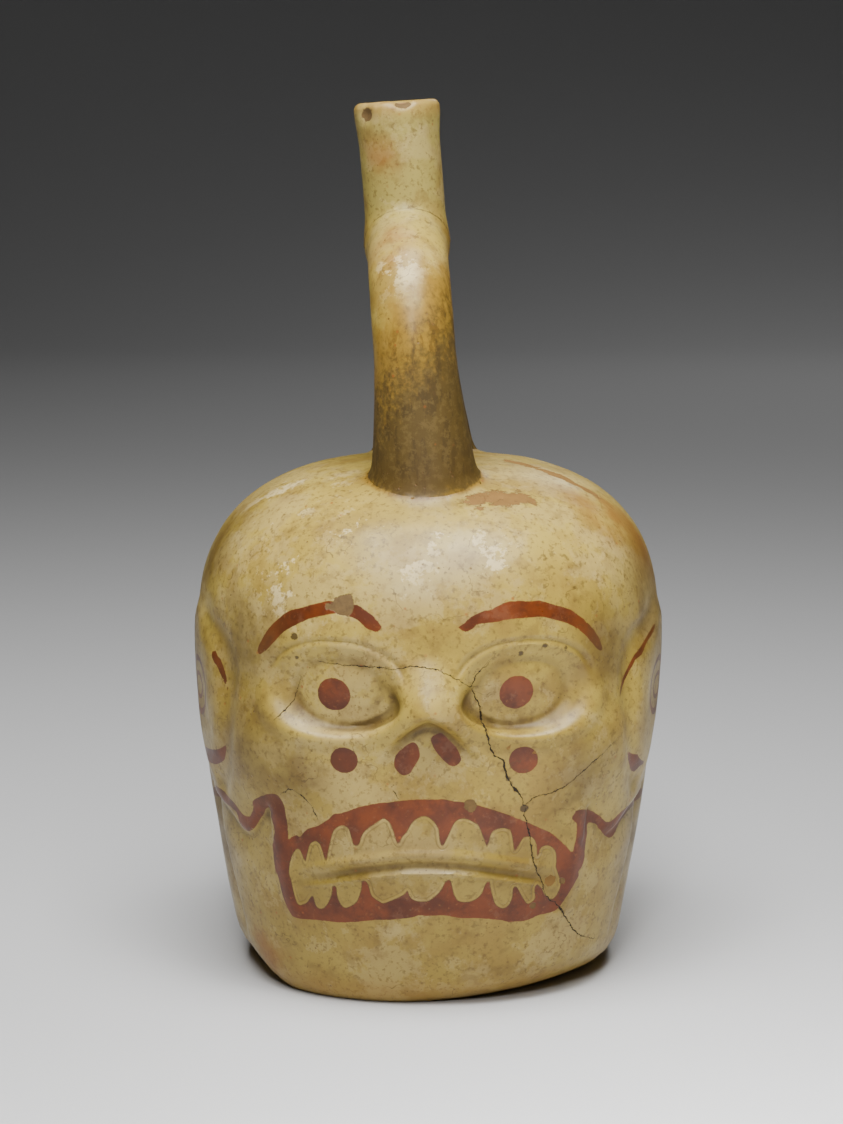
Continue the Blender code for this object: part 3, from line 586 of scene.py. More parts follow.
def cavity_rings():
    """The inside of the body, one wall in from the outside."""
    angle = np.linspace(-math.pi, math.pi, CAVITY_COLUMNS, endpoint=False)
    along = angle * HALF_WIDTH
    straight = np.linspace(FLOOR_THICKNESS, WIDEST_HEIGHT, CAVITY_FACE_RINGS + 1)
    crown = WIDEST_HEIGHT + (CROWN_RISE - BODY_WALL) * crown_levels(0, CAVITY_CROWN_RINGS, CAVITY_CROWN_END)
    rings = []
    for level in np.concatenate([straight, crown]):
        height = np.full(angle.shape, level)
        drawn_in = edge_drawn_in(angle, height - BODY_WALL / 2)
        relief = inner_relief(along, height)
        rings.append(around(angle, girth(angle, height, BODY_WALL) - drawn_in + relief, height))
    return rings


def crown_height(ahead):
    """Height of the crown's surface this far in front of the body's axis."""
    share = ahead / FACE_DEPTH
    n = CROWN_SQUARENESS_FRONT
    return WIDEST_HEIGHT + CROWN_RISE * (1 - share**n) ** (1 / n)


def stirrup_line():
    """The stirrup's centre line as (y, z) pairs, from the front foot over the arch to the back foot."""
    half_span = ARCH_SPAN / 2
    springing = BODY_HEIGHT + ARCH_RISE - ARCH_CROWN_HEIGHT
    foot = crown_height(FOOT_SPACING / 2) - FOOT_SINK
    leg = []
    for share in np.linspace(0, 1, LEG_STATIONS + 1)[:-1]:
        out = FOOT_SPACING / 2 + (half_span - FOOT_SPACING / 2) * math.sin(share * math.pi / 2)
        leg.append((-out, foot + (springing - foot) * share))
    arch = []
    for turn in np.linspace(0, math.pi, ARCH_STATIONS):
        arch.append((-half_span * math.cos(turn), springing + ARCH_CROWN_HEIGHT * math.sin(turn)))
    return leg + arch + [(-y, z) for y, z in reversed(leg)]


def lean():
    """The turn that leans the upright stirrup to one side, as the real one does."""
    turn = Matrix.Rotation(-STIRRUP_LEAN, 4, "Y")
    pivot = Matrix.Translation((STIRRUP_SHIFT, 0, BODY_HEIGHT))
    return pivot @ turn @ Matrix.Translation((0, 0, -BODY_HEIGHT))


def moved(matrix, points):
    """The points moved by the matrix."""
    points = np.asarray(points, float)
    matrix = np.array(matrix)
    return points @ matrix[:3, :3].T + matrix[:3, 3]


def tube_rings(line, radius_at, sides):
    """Rings of a tube along a line in the YZ plane."""
    line = [Vector((0, y, z)) for y, z in line]
    rings = []
    for i, centre in enumerate(line):
        before, after = line[max(i - 1, 0)], line[min(i + 1, len(line) - 1)]
        forward = (after - before).normalized()
        side = Vector((1, 0, 0))
        up = side.cross(forward)
        radius = float(radius_at(centre.z))
        ring = []
        for k in range(sides):
            turn = 2 * math.pi * (k + 0.5) / sides
            ring.append(centre + radius * (math.cos(turn) * side + math.sin(turn) * up))
        rings.append(moved(lean(), ring))
    return rings


def arm_radius(height):
    """The arm's radius, which flares towards the crown."""
    flare_top = crown_height(FOOT_SPACING / 2) + FOOT_FLARE_HEIGHT
    flare = np.clip((flare_top - height) / FOOT_FLARE_HEIGHT, 0, 1.25)
    return (ARM_DIAMETER + (FOOT_DIAMETER - ARM_DIAMETER) * flare**1.6) / 2


def turned_rings(profile, sides):
    """Rings of a shape turned on the spout's axis, from (radius, height) pairs."""
    rings = []
    for radius, height in profile:
        turns = [2 * math.pi * (k + 0.5) / sides for k in range(sides)]
        rings.append(moved(lean(), [(radius * math.cos(t), radius * math.sin(t), height) for t in turns]))
    return rings


def arch_top():
    """Height of the stirrup's centre line under the spout."""
    return BODY_HEIGHT + ARCH_RISE


def spout_profile():
    """The outside of the spout, from inside the arch up to its rounded lip."""
    foot, rim = arch_top(), arch_top() + SPOUT_HEIGHT
    body, lip = SPOUT_DIAMETER / 2, LIP_DIAMETER / 2
    wall = lip - SPOUT_BORE / 2
    profile = [(body * 0.9, foot - ARM_DIAMETER * 0.2), (body * 1.01, foot)]
    for share in np.linspace(0.03, 1, SPOUT_STATIONS):
        flare = smooth((share - 0.72) / 0.28)
        profile.append((body + (lip - body) * flare, foot + (SPOUT_HEIGHT - wall / 2) * share))
    for turn in np.linspace(0, math.pi / 2, 9)[1:]:
        profile.append((lip - wall / 2 * (1 - math.cos(turn)), rim - wall / 2 * (1 - math.sin(turn))))
    return profile


def bore_profile():
    """The hole down the spout, widening a little at the mouth."""
    rim = arch_top() + SPOUT_HEIGHT
    bore = SPOUT_BORE / 2
    wall = LIP_DIAMETER / 2 - bore
    profile = [(ARM_BORE / 2 * 0.8, arch_top() - ARM_BORE * 0.1), (bore, arch_top() + ARM_BORE * 0.3)]
    for turn in np.linspace(0, math.pi / 2, 8):
        out = wall / 2 * (1 - math.cos(turn))
        profile.append((bore + out, rim - wall / 2 * (1 - math.sin(turn))))
    profile.append((bore + wall / 2, rim + wall))
    return profile


def loft(name, rings):
    """A closed mesh object through rings of points, with a face across each end."""
    build = bmesh.new()
    loops = [[build.verts.new(p) for p in ring] for ring in rings]
    for lower, upper in zip(loops, loops[1:]):
        for k in range(len(lower)):
            after = (k + 1) % len(lower)
            build.faces.new((lower[k], lower[after], upper[after], upper[k]))
    build.faces.new(loops[0][::-1])
    build.faces.new(loops[-1])
    bmesh.ops.recalc_face_normals(build, faces=build.faces)
    mesh = bpy.data.meshes.new(name)
    build.to_mesh(mesh)
    build.free()
    shape = bpy.data.objects.new(name, mesh)
    bpy.context.scene.collection.objects.link(shape)
    return shape


def combine(target, operand, operation):
    """Joins the operand to the target, or cuts it from the target."""
    modifier = target.modifiers.new(operand.name, "BOOLEAN")
    modifier.operation = operation
    modifier.solver = "MANIFOLD"
    modifier.object = operand


def bottle_shape():
    """The whole bottle as one closed mesh, before its surface is weathered."""
    line = stirrup_line()
    bottle = loft("bottle", body_rings())
    stirrup = loft("stirrup", tube_rings(line, arm_radius, ARM_SIDES))
    spout = loft("spout", turned_rings(spout_profile(), SPOUT_SIDES))
    cavity = loft("cavity", cavity_rings())
    below = BODY_WALL + 2 * FOOT_SINK
    ends = [(line[0][0], line[0][1] - below)], [(line[-1][0], line[-1][1] - below)]
    bore_line = ends[0] + line[::4] + ends[1]
    arm_bore = loft("arm_bore", tube_rings(bore_line, lambda _: ARM_BORE / 2, BORE_SIDES))
    spout_bore = loft("spout_bore", turned_rings(bore_profile(), SPOUT_SIDES))
    for part in (stirrup, spout):
        combine(bottle, part, "UNION")
    for hollow in (cavity, arm_bore, spout_bore):
        combine(bottle, hollow, "DIFFERENCE")
    bpy.context.view_layer.update()
    solid = bpy.data.meshes.new_from_object(bottle.evaluated_get(bpy.context.evaluated_depsgraph_get()))
    bottle.modifiers.clear()
    bottle.data = solid
    for helper in (stirrup, spout, cavity, arm_bore, spout_bore):
        bpy.data.objects.remove(helper)
    return bottle


def off_body(points):
    """Distance out from the body's plain surface."""
    across, ahead, height = points.T
    angle = np.arctan2(across, -ahead)
    out = np.hypot(across, ahead) / plain_radius(angle)
    up = np.clip((height - WIDEST_HEIGHT) / CROWN_RISE, 0, None)
    n = crown_squareness(angle)
    slope = n * np.hypot(out ** (n - 1) / plain_radius(angle), up ** (n - 1) / CROWN_RISE)
    return (out**n + up**n - 1) / np.maximum(slope, 1)


def off_arms(upright):
    """Distance out from the stirrup's surface, for points with its lean taken away."""
    line = np.array(stirrup_line()[::2])
    away, share = from_line(upright[:, 1], upright[:, 2], line)
    height = np.interp(share * (len(line) - 1), np.arange(len(line)), line[:, 1])
    return np.hypot(upright[:, 0], away) - arm_radius(height)


def off_spout(upright):
    """Distance out from the spout's surface, for points with its lean taken away."""
    out = np.hypot(upright[:, 0], upright[:, 1]) - SPOUT_DIAMETER / 2
    return np.maximum(out, arch_top() - ARM_DIAMETER * 0.2 - upright[:, 2])


def is_inside(points, arms, spout):
    """Whether each point is on the cavity or the bores."""
    across, ahead, height = points.T
    angle = np.arctan2(across, -ahead)
    edge = (edge_drawn_in(angle, height) + edge_drawn_in(angle, height - BODY_WALL / 2)) / 2
    mid_wall = girth(angle, height, BODY_WALL / 2) - edge + carved_relief(angle * HALF_WIDTH, height)
    in_body = (np.hypot(across, ahead) < mid_wall) & (height > FLOOR_THICKNESS * 0.6)
    return in_body | (np.minimum(arms, spout) < -BORE_MARGIN)


def fillet(body, arms, spout):
    """How far the skin swells out to blend the arms into the crown and the spout into the arch."""
    order = np.sort(np.stack([body, arms, spout]), axis=0)
    width = np.where(spout < body, SPOUT_FILLET, FOOT_FILLET)
    near = np.clip(1 - (order[1] - order[0]) / width, 0, 1)
    return near**2 * width / 4


def unevenness(points, size, seed):
    """Smooth noise at each point, about -1 to 1, with lumps of this size."""
    shift = Vector((seed, 2 * seed, -seed))
    return np.array([noise.noise(Vector(p) / size + shift) for p in points])


def rim_chips(upright):
    """How deep the lip is chipped at each point, as a share."""
    turn = np.arctan2(upright[:, 0], -upright[:, 1])
    rim = arch_top() + SPOUT_HEIGHT
    chips = np.zeros(len(upright))
    for degrees, below, half_width, half_height in RIM_CHIPS:
        round_lip = (turn - math.radians(degrees)) * LIP_DIAMETER / 2
        middle = 0, rim - below
        chips = np.maximum(chips, swell(round_lip, upright[:, 2], middle, half_width, half_height))
    return chips


def inside_discs(along, height, discs):
    """How many millimetres inside the nearest of these discs each point is, and negative outside."""
    return np.max([radius - np.hypot(along - x, height - z) for x, z, radius in discs], axis=0)


def read_vertices(mesh, name):
    """A place or direction of each vertex, one in a row."""
    values = np.empty(len(mesh.vertices) * 3)
    mesh.vertices.foreach_get(name, values)
    return values.reshape(-1, 3)


def weather(bottle):
    """Blends the joints, makes the skin a little uneven as hands left it, and chips the lip."""
    mesh = bottle.data
    points, normals = read_vertices(mesh, "co"), read_vertices(mesh, "normal")
    upright = moved(lean().inverted(), points)
    body, arms, spout = off_body(points), off_arms(upright), off_spout(upright)
    inside = is_inside(points, arms, spout)
    lumps = sum(rise * unevenness(points, size, seed) for rise, size, seed in LUMPS)
    lumps *= smooth(points[:, 2] / LUMPS_FROM)
    chips = rim_chips(upright)
    out = np.where(inside, 0, fillet(body, arms, spout) + lumps - RIM_CHIP_DEPTH * chips)
    points += normals * out[:, None]
    points[:, 2] = np.clip(points[:, 2], 0, None)
    mesh.vertices.foreach_set("co", points.ravel())
    mesh.update()
    on_arm = arms < np.minimum(body - ARM_COLOUR_OFF, ARM_COLOUR_REACH)
    arm_share = smooth((body - arms + FOOT_STAIN) / (2 * FOOT_STAIN))
    return points, inside, on_arm, arm_share, chips, np.abs(arms - spout)


def inside_outline(along, height, points):
    """Distance in from the closed curve through these points, less than 0 outside it. All in mm."""
    outline, reach = curve_through(points, closed=True, steps=3), OUTLINE_REACH
    low, high = outline.min(0) - reach, outline.max(0) + reach
    near = (along > low[0]) & (along < high[0]) & (height > low[1]) & (height < high[1])
    x, y = along[near], height[near]
    closest = np.full(x.shape, reach)
    within = np.zeros(x.shape, bool)
    for start, end in zip(outline, np.roll(outline, -1, axis=0)):
        run = end - start
        t = np.clip(((x - start[0]) * run[0] + (y - start[1]) * run[1]) / max(run @ run, 1e-9), 0, 1)
        closest = np.minimum(closest, np.hypot(x - start[0] - t * run[0], y - start[1] - t * run[1]))
        spans = (start[1] > y) != (end[1] > y)
        rise = run[1] if abs(run[1]) > 1e-9 else 1e-9
        within ^= spans & (x < start[0] + run[0] * (y - start[1]) / rise)
    distance = np.full(along.shape, -reach)
    distance[near] = np.where(within, closest, -closest)
    return distance


def cracked(along, height):
    """Signed distance from the nearest crack's middle and that crack's half width there, in mm."""
    nearest = np.full(along.shape, OUTLINE_REACH)
    width = np.full(along.shape, -1.0)
    for half_width, pairs in CRACKS:
        away, share = from_line(along, height, curve_through(pairs))
        taper = 0.4 + 0.6 * smooth(6 * share) * smooth(6 * (1 - share))
        open_here = (np.abs(away) < 1.3) & (share > 0) & (share < 1)
        closer = np.abs(away) < np.abs(nearest)
        nearest = np.where(closer, away, nearest)
        width = np.where(closer, np.where(open_here, half_width * taper, -1.0), width)
    return nearest, width


def painted(along, height):
    """Distance in from the edge of the red slip, in mm, and the same for the teeth it leaves bare."""
    teeth = inside_outline(along, height, TEETH)
    band = inside_outline(along, height, MOUTH)
    red = np.minimum(band, -teeth)
    for points in (JAW_LEFT, JAW_RIGHT, BROW_LEFT, BROW_RIGHT, NOSTRIL_LEFT, NOSTRIL_RIGHT, EAR_ARC_LEFT,
                   EAR_ARC_RIGHT, LOBE_LEFT, LOBE_RIGHT):
        red = np.maximum(red, inside_outline(along, height, points))
    red = np.maximum(red, np.clip(inside_discs(along, height, EYE_DISCS + CHEEK_DISCS), OFF_MARK, None))
    for x, y, radius, half_width in (EAR_RING, EAR_RING_INNER):
        ring = half_width - np.abs(np.hypot(np.abs(along) - x, height - y) - radius)
        red = np.maximum(red, np.clip(ring, OFF_MARK, None))
    return red, teeth


def hollowness(along, height):
    """How far each place lies below the skin round it, in mm."""
    mean = np.zeros(along.shape)
    for turn in np.linspace(0, 2 * math.pi, DIRECTIONS, endpoint=False):
        reach_along, reach_up = HOLLOW_REACH * math.cos(turn), HOLLOW_REACH * math.sin(turn)
        mean += carved_relief(along + reach_along, height + reach_up) / DIRECTIONS
    return 1000 * (mean - carved_relief(along, height))


def near_spots(points, spots):
    """How close each point is to the nearest of these spots: 1 there and 0 at its edge."""
    share = np.zeros(len(points))
    for *centre, radius in spots:
        away = np.linalg.norm(points - np.array(centre), axis=1)
        share = np.maximum(share, smooth(1 - away / radius))
    return share


def scuffed(points):
    """How close each point is to the middle of a scuff: 1 there and 0 at its edge."""
    share = np.zeros(len(points))
    for start, end, radius in SCUFFS:
        run = np.subtract(end, start)
        t = np.clip((points - start) @ run / (run @ run), 0, 1)
        away = np.linalg.norm(points - start - t[:, None] * run, axis=1)
        share = np.maximum(share, smooth(1 - away / radius))
    return share


def store(mesh, name, values):
    """Keeps a number for each vertex, for the material to read."""
    attribute = mesh.attributes.new(name, "FLOAT", "POINT")
    attribute.data.foreach_set("value", np.asarray(values, np.float32))


def mark(bottle, points, inside, on_arm, arm_share, chips, off_seam):
    """Stores where the slip, the cracks, the bare clay, the dirt and the painted shade are."""
    mesh = bottle.data
    across, ahead, height = points.T
    angle = np.arctan2(across, -ahead)
    along = angle * HALF_WIDTH
    on_body = ~on_arm & ~inside & (height < BODY_HEIGHT * 0.995)
    place = along * 1000, height * 1000
    red, teeth = painted(*place)
    off_crack, crack = cracked(*place)
    chip = np.maximum(inside_outline(*place, CHIP_BROW), inside_discs(*place, PAINT_CHIPS))
    scuff = np.maximum(scuffed(points), smooth(inside_discs(*place, FLAKES) / 2))
    grime = np.clip((ARM_GRIME_TOP + across - height) / ARM_GRIME_FADE, 0, 1) * arm_share
    store(mesh, "paint", np.where(on_body, red, OFF_MARK))
    store(mesh, "teeth", np.where(on_body, teeth, OFF_MARK))
    store(mesh, "off_crack", off_crack)
    store(mesh, "crack", np.where(on_body, crack, -1))
    store(mesh, "chip", np.maximum(np.where(on_body, chip, OFF_MARK), chips * 2.4 - 1))
    store(mesh, "hollow", np.where(on_body, hollowness(along, height), 0))
    store(mesh, "grime", grime)
    store(mesh, "scuff", np.where(on_body, scuff, 0))
    store(mesh, "pit", np.where(on_body, inside_discs(*place, PITS), OFF_MARK))
    for name, spots in (("ochre", OCHRE_SPOTS), ("pale", PALE_SPOTS), ("shade", SHADE_SPOTS)):
        store(mesh, name, near_spots(points, spots))
    store(mesh, "inside", inside)
    store(mesh, "seam", np.where(inside, OFF_SEAM, off_seam * 1000))


class Graph:
    """Adds shader nodes to a material and links them."""

    def __init__(self, material):
        self.tree = material.node_tree
        self.place = self.tree.nodes.new("ShaderNodeTexCoord").outputs["Object"]
        split = self.tree.nodes.new("ShaderNodeSeparateXYZ")
        self.up = self.plug(split, {"Vector": self.place}).outputs["Z"]
        self.patchy = self.noise(0.016, 2, 5, 0.6)
        self.mottled = self.noise(0.006, 3, 5, 0.65)
        self.fine = self.noise(0.0016, 4, 3, 0.6)
        self.paint_edge = self.times(self.minus(self.noise(0.0015, 7, 4, 0.6), 0.5), 0.5)

    def plug(self, node, inputs):
        for key, value in inputs.items():
            if isinstance(value, bpy.types.NodeSocket):
                self.tree.links.new(value, node.inputs[key])
            else:
                node.inputs[key].default_value = value
        return node

    def field(self, name):
        node = self.tree.nodes.new("ShaderNodeAttribute")
        node.attribute_name = name
        return node.outputs["Fac"]

    def math(self, operation, first, second=0.0, clamp=False):
        node = self.tree.nodes.new("ShaderNodeMath")
        node.operation = operation
        node.use_clamp = clamp
        return self.plug(node, {0: first, 1: second}).outputs[0]

    def times(self, first, second):
        return self.math("MULTIPLY", first, second)

    def plus(self, first, second):
        return self.math("ADD", first, second)

    def minus(self, first, second):
        return self.math("SUBTRACT", first, second)

    def either(self, first, second):
        return self.math("MAXIMUM", first, second)

    def absolute(self, value):
        return self.math("ABSOLUTE", value)

    def ramp(self, value, low, high, bottom=0.0, top=1.0):
        """Turns value from low to high into bottom to top, along an S curve."""
        node = self.tree.nodes.new("ShaderNodeMapRange")
        node.interpolation_type = "SMOOTHSTEP"
        inputs = {"Value": value, "From Min": low, "From Max": high, "To Min": bottom, "To Max": top}
        return self.plug(node, inputs).outputs["Result"]

    def moved(self, size, seed, stretch=(1, 1, 1)):
        node = self.tree.nodes.new("ShaderNodeMapping")
        scale = [s / size for s in stretch]
        inputs = {"Vector": self.place, "Location": (seed * 3.7, seed * 5.3, seed * 1.9), "Scale": scale}
        return self.plug(node, inputs).outputs["Vector"]

    def noise(self, size, seed, detail=3.0, roughness=0.55, stretch=(1, 1, 1)):
        """Noise from 0 to 1 with features of this size in metres."""
        node = self.tree.nodes.new("ShaderNodeTexNoise")
        inputs = {"Vector": self.moved(size, seed, stretch), "Scale": 1.0, "Detail": detail}
        inputs["Roughness"] = roughness
        return self.plug(node, inputs).outputs["Fac"]

    def pits(self, size, seed, radius):
        """1 in the middle of scattered round pits, and 0 between them."""
        node = self.tree.nodes.new("ShaderNodeTexVoronoi")
        distance = self.plug(node, {"Vector": self.moved(size, seed), "Scale": 1.0}).outputs["Distance"]
        return self.ramp(distance, radius, radius * 0.4)

    def mix(self, share, first, second):
        node = self.tree.nodes.new("ShaderNodeMix")
        node.data_type = "RGBA"
        return self.plug(node, {0: share, 6: first, 7: second}).outputs[2]

    def tint(self, colour, share, display, weight=None):
        """The colour mixed towards a display colour by this share, or by this share of a weight."""
        if weight is not None:
            share = self.times(share, weight)
        return self.mix(share, colour, tone(*display))


def tone(red, green, blue):
    """A display colour, 0 to 255, as the shader's colour."""
    shares = [c / 255 for c in (red, green, blue)]
    return (*[c / 12.92 if c <= 0.04045 else ((c + 0.055) / 1.055) ** 2.4 for c in shares], 1.0)


def cream_slip(g):
    """The cream slip's colour with stains, dirt, painted shade and a darker bottom, and how dirty and shaded
    it is.
    """
    cream = g.mix(g.ramp(g.noise(0.045, 1, 4), 0.36, 0.64), tone(150, 127, 54), tone(172, 149, 72))
    # Darker and browner towards the bottom.
    cream = g.tint(cream, g.ramp(g.up, 0.015, 0.13, 0.25, 0.0), (112, 90, 38))
    cream = g.tint(cream, g.ramp(g.up, 0.236, 0.250, 0, 0.5), (144, 138, 82))
    cream = g.tint(cream, g.ramp(g.patchy, 0.46, 0.64, 0, 0.5), (124, 96, 42))
    cream = g.tint(cream, g.ramp(g.noise(0.028, 20, 7, 0.68), 0.50, 0.56, 0, 0.30), (178, 158, 108))
    cream = g.tint(cream, g.ramp(g.mottled, 0.50, 0.68, 0, 0.42), (104, 80, 38))
    flakes = g.ramp(g.noise(0.017, 6, 7, 0.70), 0.56, 0.585)
    cream = g.tint(cream, g.times(flakes, g.ramp(g.field("pale"), 0.05, 0.8, 0.14, 0.8)), (204, 184, 132))
    cream = g.tint(cream, g.ramp(g.fine, 0.52, 0.70, 0, 0.6), (92, 70, 34))
    stained = g.times(g.field("ochre"), g.ramp(g.patchy, 0.30, 0.62))
    cream = g.tint(cream, stained, (134, 82, 30), 0.65)
    # Dirt and painted shade in the carving's hollows, darker where the skin lies below the skin round it.
    hollow_dirt_and_shade = g.times(g.ramp(g.field("hollow"), 0.0, 1.3), g.ramp(g.mottled, 0.25, 0.65, 0.45, 0.85))
    cream = g.tint(cream, hollow_dirt_and_shade, (84, 64, 28))

    uneven = g.plus(g.minus(g.patchy, 0.5), g.minus(g.mottled, 0.5))
    grime = g.plus(g.field("grime"), g.times(uneven, 0.5))
    golden = g.times(g.ramp(grime, 0.04, 0.34), g.ramp(g.field("grime"), 0.0, 0.06))
    cream = g.tint(cream, golden, (136, 104, 36), 0.85)
    streaks = g.ramp(g.noise(0.0030, 21, 5, 0.7, (1, 1, 0.4)), 0.50, 0.60)
    streaks = g.times(streaks, g.ramp(g.field("grime"), 0.10, 0.50))
    cream = g.tint(cream, streaks, (84, 58, 22), 0.65)
    grimy = g.ramp(g.plus(grime, g.times(g.minus(g.fine, 0.5), 0.9)), 0.26, 0.80)
    grimy = g.times(grimy, g.ramp(g.field("grime"), 0.0, 0.3))
    cream = g.tint(cream, grimy, (56, 45, 20), 0.80)
    grains = g.times(g.ramp(g.noise(0.0022, 27, 5, 0.75), 0.50, 0.60), g.ramp(g.field("grime"), 0.3, 0.8))
    cream = g.tint(cream, grains, (108, 90, 46), 0.45)
    ends = g.either(g.ramp(g.up, 0.012, 0.002), g.ramp(g.up, 0.274, 0.279))
    return g.tint(cream, ends, (158, 118, 54), 0.4), g.plus(hollow_dirt_and_shade, grimy)


def red_slip(g, cream):
    """The colour once the red is painted on the cream and both are shaded, and where the red covers."""
    cover = g.ramp(g.plus(g.field("paint"), g.paint_edge), -0.10, 0.16)
    red = g.mix(g.ramp(g.noise(0.012, 8, 5, 0.6), 0.36, 0.66), tone(108, 52, 20), tone(80, 38, 18))
    red = g.tint(red, g.ramp(g.mottled, 0.50, 0.70, 0, 0.6), (62, 32, 20))
    red = g.tint(red, g.ramp(g.noise(0.009, 22, 6, 0.7), 0.56, 0.62, 0, 0.35), (112, 74, 52))
    red = g.tint(red, g.ramp(g.fine, 0.58, 0.76, 0, 0.5), (128, 78, 36))
    colour = g.mix(cover, cream, red)
    shade = g.times(g.field("shade"), g.ramp(g.patchy, 0.25, 0.62, 0.30, 0.68))
    return g.tint(colour, shade, (78, 58, 26)), cover


def wear(g, colour):
    """The colour with scuffs, chips, specks, scratches, pits and cracks, then four of those masks."""
    ragged = g.minus(g.noise(0.006, 9, 7, 0.75, (0.6, 1, 1.6)), 0.5)
    scuffs = g.ramp(g.plus(g.field("scuff"), g.times(ragged, 3.0)), 0.55, 0.66)
    colour = g.mix(scuffs, colour, g.mix(g.mottled, tone(92, 62, 24), tone(146, 110, 54)))
    chip_edge = g.times(g.minus(g.fine, 0.5), 1.4)
    chips = g.ramp(g.plus(g.field("chip"), chip_edge), -0.15, 0.15)
    colour = g.mix(chips, colour, g.mix(g.fine, tone(68, 52, 28), tone(116, 90, 50)))
    specks = g.times(g.pits(0.0022, 5, 0.14), g.ramp(g.noise(0.020, 23), 0.46, 0.60))
    colour = g.tint(colour, specks, (66, 46, 22), 0.7)
    rusty = g.times(g.pits(0.0060, 6, 0.11), g.ramp(g.noise(0.030, 24), 0.48, 0.60))
    colour = g.tint(colour, rusty, (140, 72, 22), 0.7)
    line = g.absolute(g.minus(g.noise(0.022, 25, 4, 0.5, (1, 0.4, 1.3)), 0.5))
    scratches = g.times(g.ramp(line, 0.0045, 0.0015), g.ramp(g.noise(0.012, 26), 0.54, 0.60))
    colour = g.tint(colour, scratches, (74, 54, 26), 0.55)
    hole = g.ramp(g.plus(g.field("pit"), g.times(ragged, 3.0)), -0.1, 0.3)
    colour = g.tint(colour, hole, (58, 42, 24), 0.85)
    pits = g.times(g.pits(0.0030, 3, 0.16), g.ramp(g.noise(0.013, 10), 0.50, 0.62))
    colour = g.tint(colour, pits, (96, 68, 34), 0.8)
    wander = g.times(g.minus(g.noise(0.0022, 11, 4, 0.7), 0.5), 2.2)
    off_crack = g.absolute(g.plus(g.field("off_crack"), wander))
    gape = g.times(g.field("crack"), g.ramp(g.noise(0.0035, 12, 3), 0.32, 0.68, 0.35, 1.6))
    cracks = g.ramp(g.minus(gape, off_crack), -0.07, 0.05)
    return g.tint(colour, cracks, (34, 24, 12)), scuffs, chips, pits, cracks


def drawn_lines(g, colour):
    """The colour with the teeth, the seam under the spout and the bare inside, then two masks."""
    tooth_line = g.ramp(g.absolute(g.minus(g.field("teeth"), 1.1)), 0.34, 0.05)
    tooth_line = g.times(tooth_line, g.ramp(g.patchy, 0.42, 0.56))
    colour = g.tint(colour, g.ramp(g.field("teeth"), 0.2, 0.8, 0, 0.22), (104, 84, 36))
    colour = g.tint(colour, tooth_line, (92, 70, 34), 0.30)
    tooth_edge = g.ramp(g.absolute(g.plus(g.field("teeth"), g.paint_edge)), 0.30, 0.05)
    colour = g.tint(colour, tooth_edge, (62, 38, 18), 0.5)
    seam = g.plus(g.field("seam"), g.times(g.minus(g.mottled, 0.5), 1.8))
    seam = g.ramp(g.absolute(seam), 0.32, 0.08)
    colour = g.tint(colour, seam, (70, 50, 26), 0.8)
    return g.tint(colour, g.field("inside"), (120, 86, 52)), tooth_line, seam


def fired_clay():
    """Burnished cream slip with red painting, worn, stained and cracked."""
    material = bpy.data.materials.new("slipped_clay")
    material.use_nodes = True
    g = Graph(material)
    shader = material.node_tree.nodes["Principled BSDF"]
    cream, dirt_and_shade = cream_slip(g)
    colour, red_cover = red_slip(g, cream)
    colour, scuffs, chips, pits, cracks = wear(g, colour)
    colour, tooth_line, seam = drawn_lines(g, colour)
    g.plug(shader, {"Base Color": colour})

    rough = g.ramp(g.patchy, 0.3, 0.7, 0.24, 0.38)
    rough = g.plus(rough, g.times(g.fine, 0.10))
    rough = g.plus(rough, g.times(dirt_and_shade, 0.18))
    bare = g.either(g.either(chips, cracks), g.either(scuffs, g.field("inside")))
    rough = g.math("ADD", rough, g.times(bare, 0.4), clamp=True)
    g.plug(shader, {"Roughness": rough, "Specular IOR Level": 0.3})

    height = g.times(g.patchy, 0.10)
    grain = g.noise(0.0005, 5, 2)
    for layer, rise in ((g.mottled, 0.05), (g.fine, 0.030), (grain, 0.006), (red_cover, 0.015)):
        height = g.plus(height, g.times(layer, rise))
    worn = g.plus(chips, scuffs)
    for layer, depth in ((pits, 0.10), (cracks, 0.30), (tooth_line, 0.13), (seam, 0.18), (worn, 0.12)):
        height = g.minus(height, g.times(layer, depth))
    bump = g.plug(material.node_tree.nodes.new("ShaderNodeBump"), {"Height": height, "Distance": 0.001})
    g.plug(shader, {"Normal": bump.outputs["Normal"]})
    return material


def softbox(name, place, target, size, watts, spread):
    """A square soft light, which a grid narrows to a spread in degrees."""
    lamp = bpy.data.lights.new(name, "AREA")
    lamp.shape = "SQUARE"
    lamp.size = size
    lamp.energy = watts
    lamp.spread = math.radians(spread)
    holder = bpy.data.objects.new(name, lamp)
    bpy.context.scene.collection.objects.link(holder)
    holder.location = place
    holder.rotation_euler = (Vector(target) - Vector(place)).to_track_quat("-Z", "Y").to_euler()


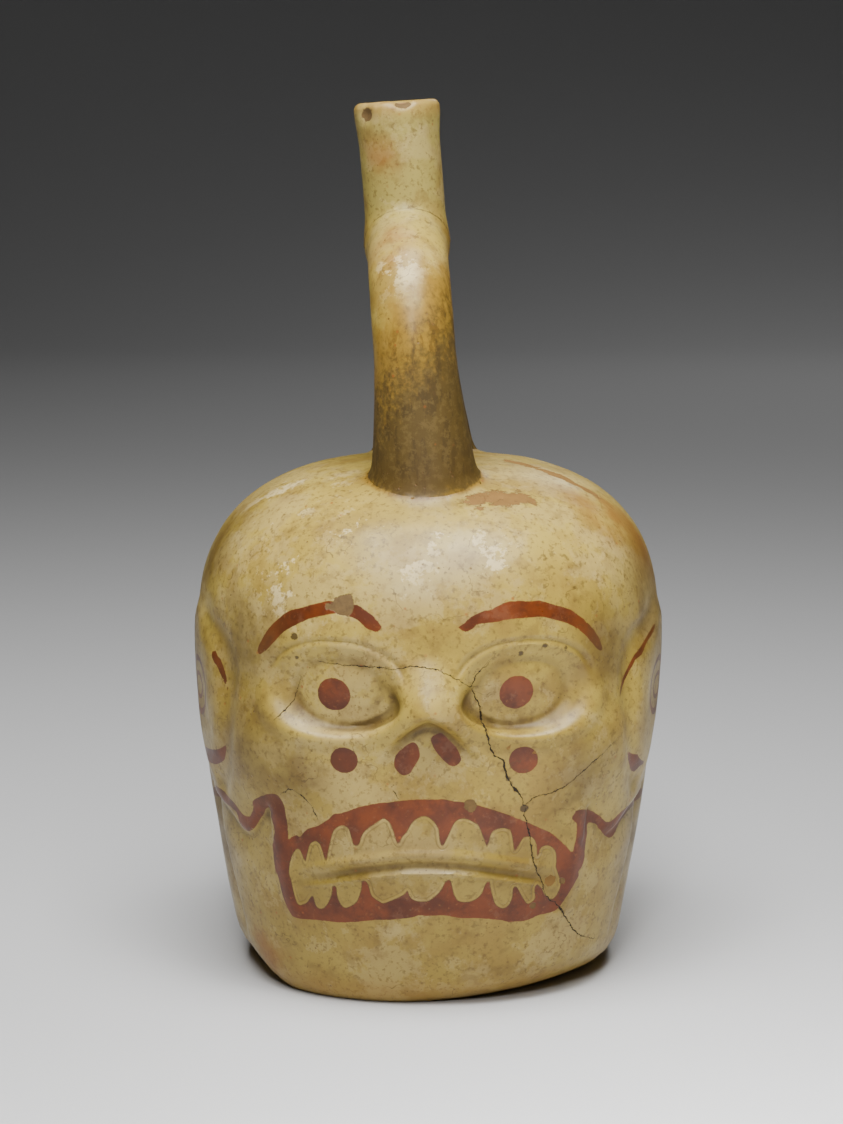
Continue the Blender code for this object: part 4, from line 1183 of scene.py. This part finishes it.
def studio():
    """A plain pale floor, which sweeps up at the back, under soft lights."""
    mesh = bpy.data.meshes.new("floor")
    turn = np.linspace(0, math.pi / 2, SWEEP_STEPS)
    depths = np.append(FLOOR_FRONT, SWEEP_START + SWEEP_RADIUS * np.sin(turn))
    heights = np.append(0, SWEEP_RADIUS * (1 - np.cos(turn)))
    verts = [(side, y, z) for y, z in zip(depths, heights) for side in (-FLOOR_SIDE, FLOOR_SIDE)]
    faces = [(2 * k, 2 * k + 1, 2 * k + 3, 2 * k + 2) for k in range(len(depths) - 1)]
    mesh.from_pydata(verts, [], faces)
    mesh.shade_smooth()
    floor = bpy.data.objects.new("floor", mesh)
    bpy.context.scene.collection.objects.link(floor)
    paper = bpy.data.materials.new("pale_paper")
    paper.use_nodes = True
    shader = paper.node_tree.nodes["Principled BSDF"]
    shader.inputs["Base Color"].default_value = FLOOR_COLOUR
    shader.inputs["Roughness"].default_value = FLOOR_ROUGHNESS
    shader.inputs["Specular IOR Level"].default_value = FLOOR_SPECULAR
    mesh.materials.append(paper)
    for lamp in LAMPS:
        softbox(*lamp)
    world = bpy.data.worlds.new("room")
    world.use_nodes = True
    sky = world.node_tree.nodes["Background"]
    sky.inputs["Color"].default_value = (1, 1, 1, 1)
    sky.inputs["Strength"].default_value = WORLD_STRENGTH
    bpy.context.scene.world = world


def camera():
    """The photograph's view."""
    data = bpy.data.cameras.new("camera")
    data.lens = CAMERA_LENS
    data.sensor_width = CAMERA_SENSOR
    data.clip_end = CAMERA_REACH
    holder = bpy.data.objects.new("camera", data)
    bpy.context.scene.collection.objects.link(holder)
    holder.location = CAMERA_PLACE
    holder.rotation_euler = (math.radians(90 - CAMERA_DOWN), 0, 0)
    bpy.context.scene.camera = holder


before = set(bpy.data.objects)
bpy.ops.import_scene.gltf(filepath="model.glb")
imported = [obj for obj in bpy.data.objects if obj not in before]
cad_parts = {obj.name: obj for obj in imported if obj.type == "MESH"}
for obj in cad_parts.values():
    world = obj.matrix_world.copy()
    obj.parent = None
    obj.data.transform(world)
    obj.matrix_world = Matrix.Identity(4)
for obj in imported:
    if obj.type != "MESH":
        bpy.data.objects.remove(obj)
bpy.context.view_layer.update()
bottle = bottle_shape()
mark(bottle, *weather(bottle))
bottle.data.transform(Matrix.Translation((0, AXIS_Y, 0)))
bottle.data.shade_smooth()
bottle.data.set_sharp_from_angle(angle=math.radians(SHARP_DEGREES))
bottle.data.materials.clear()
bottle.data.materials.append(fired_clay())
bottle.name = "slipped_bottle"
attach(bottle, "root")
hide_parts("skull_bottle")
studio()
camera()
bpy.context.view_layer.update()
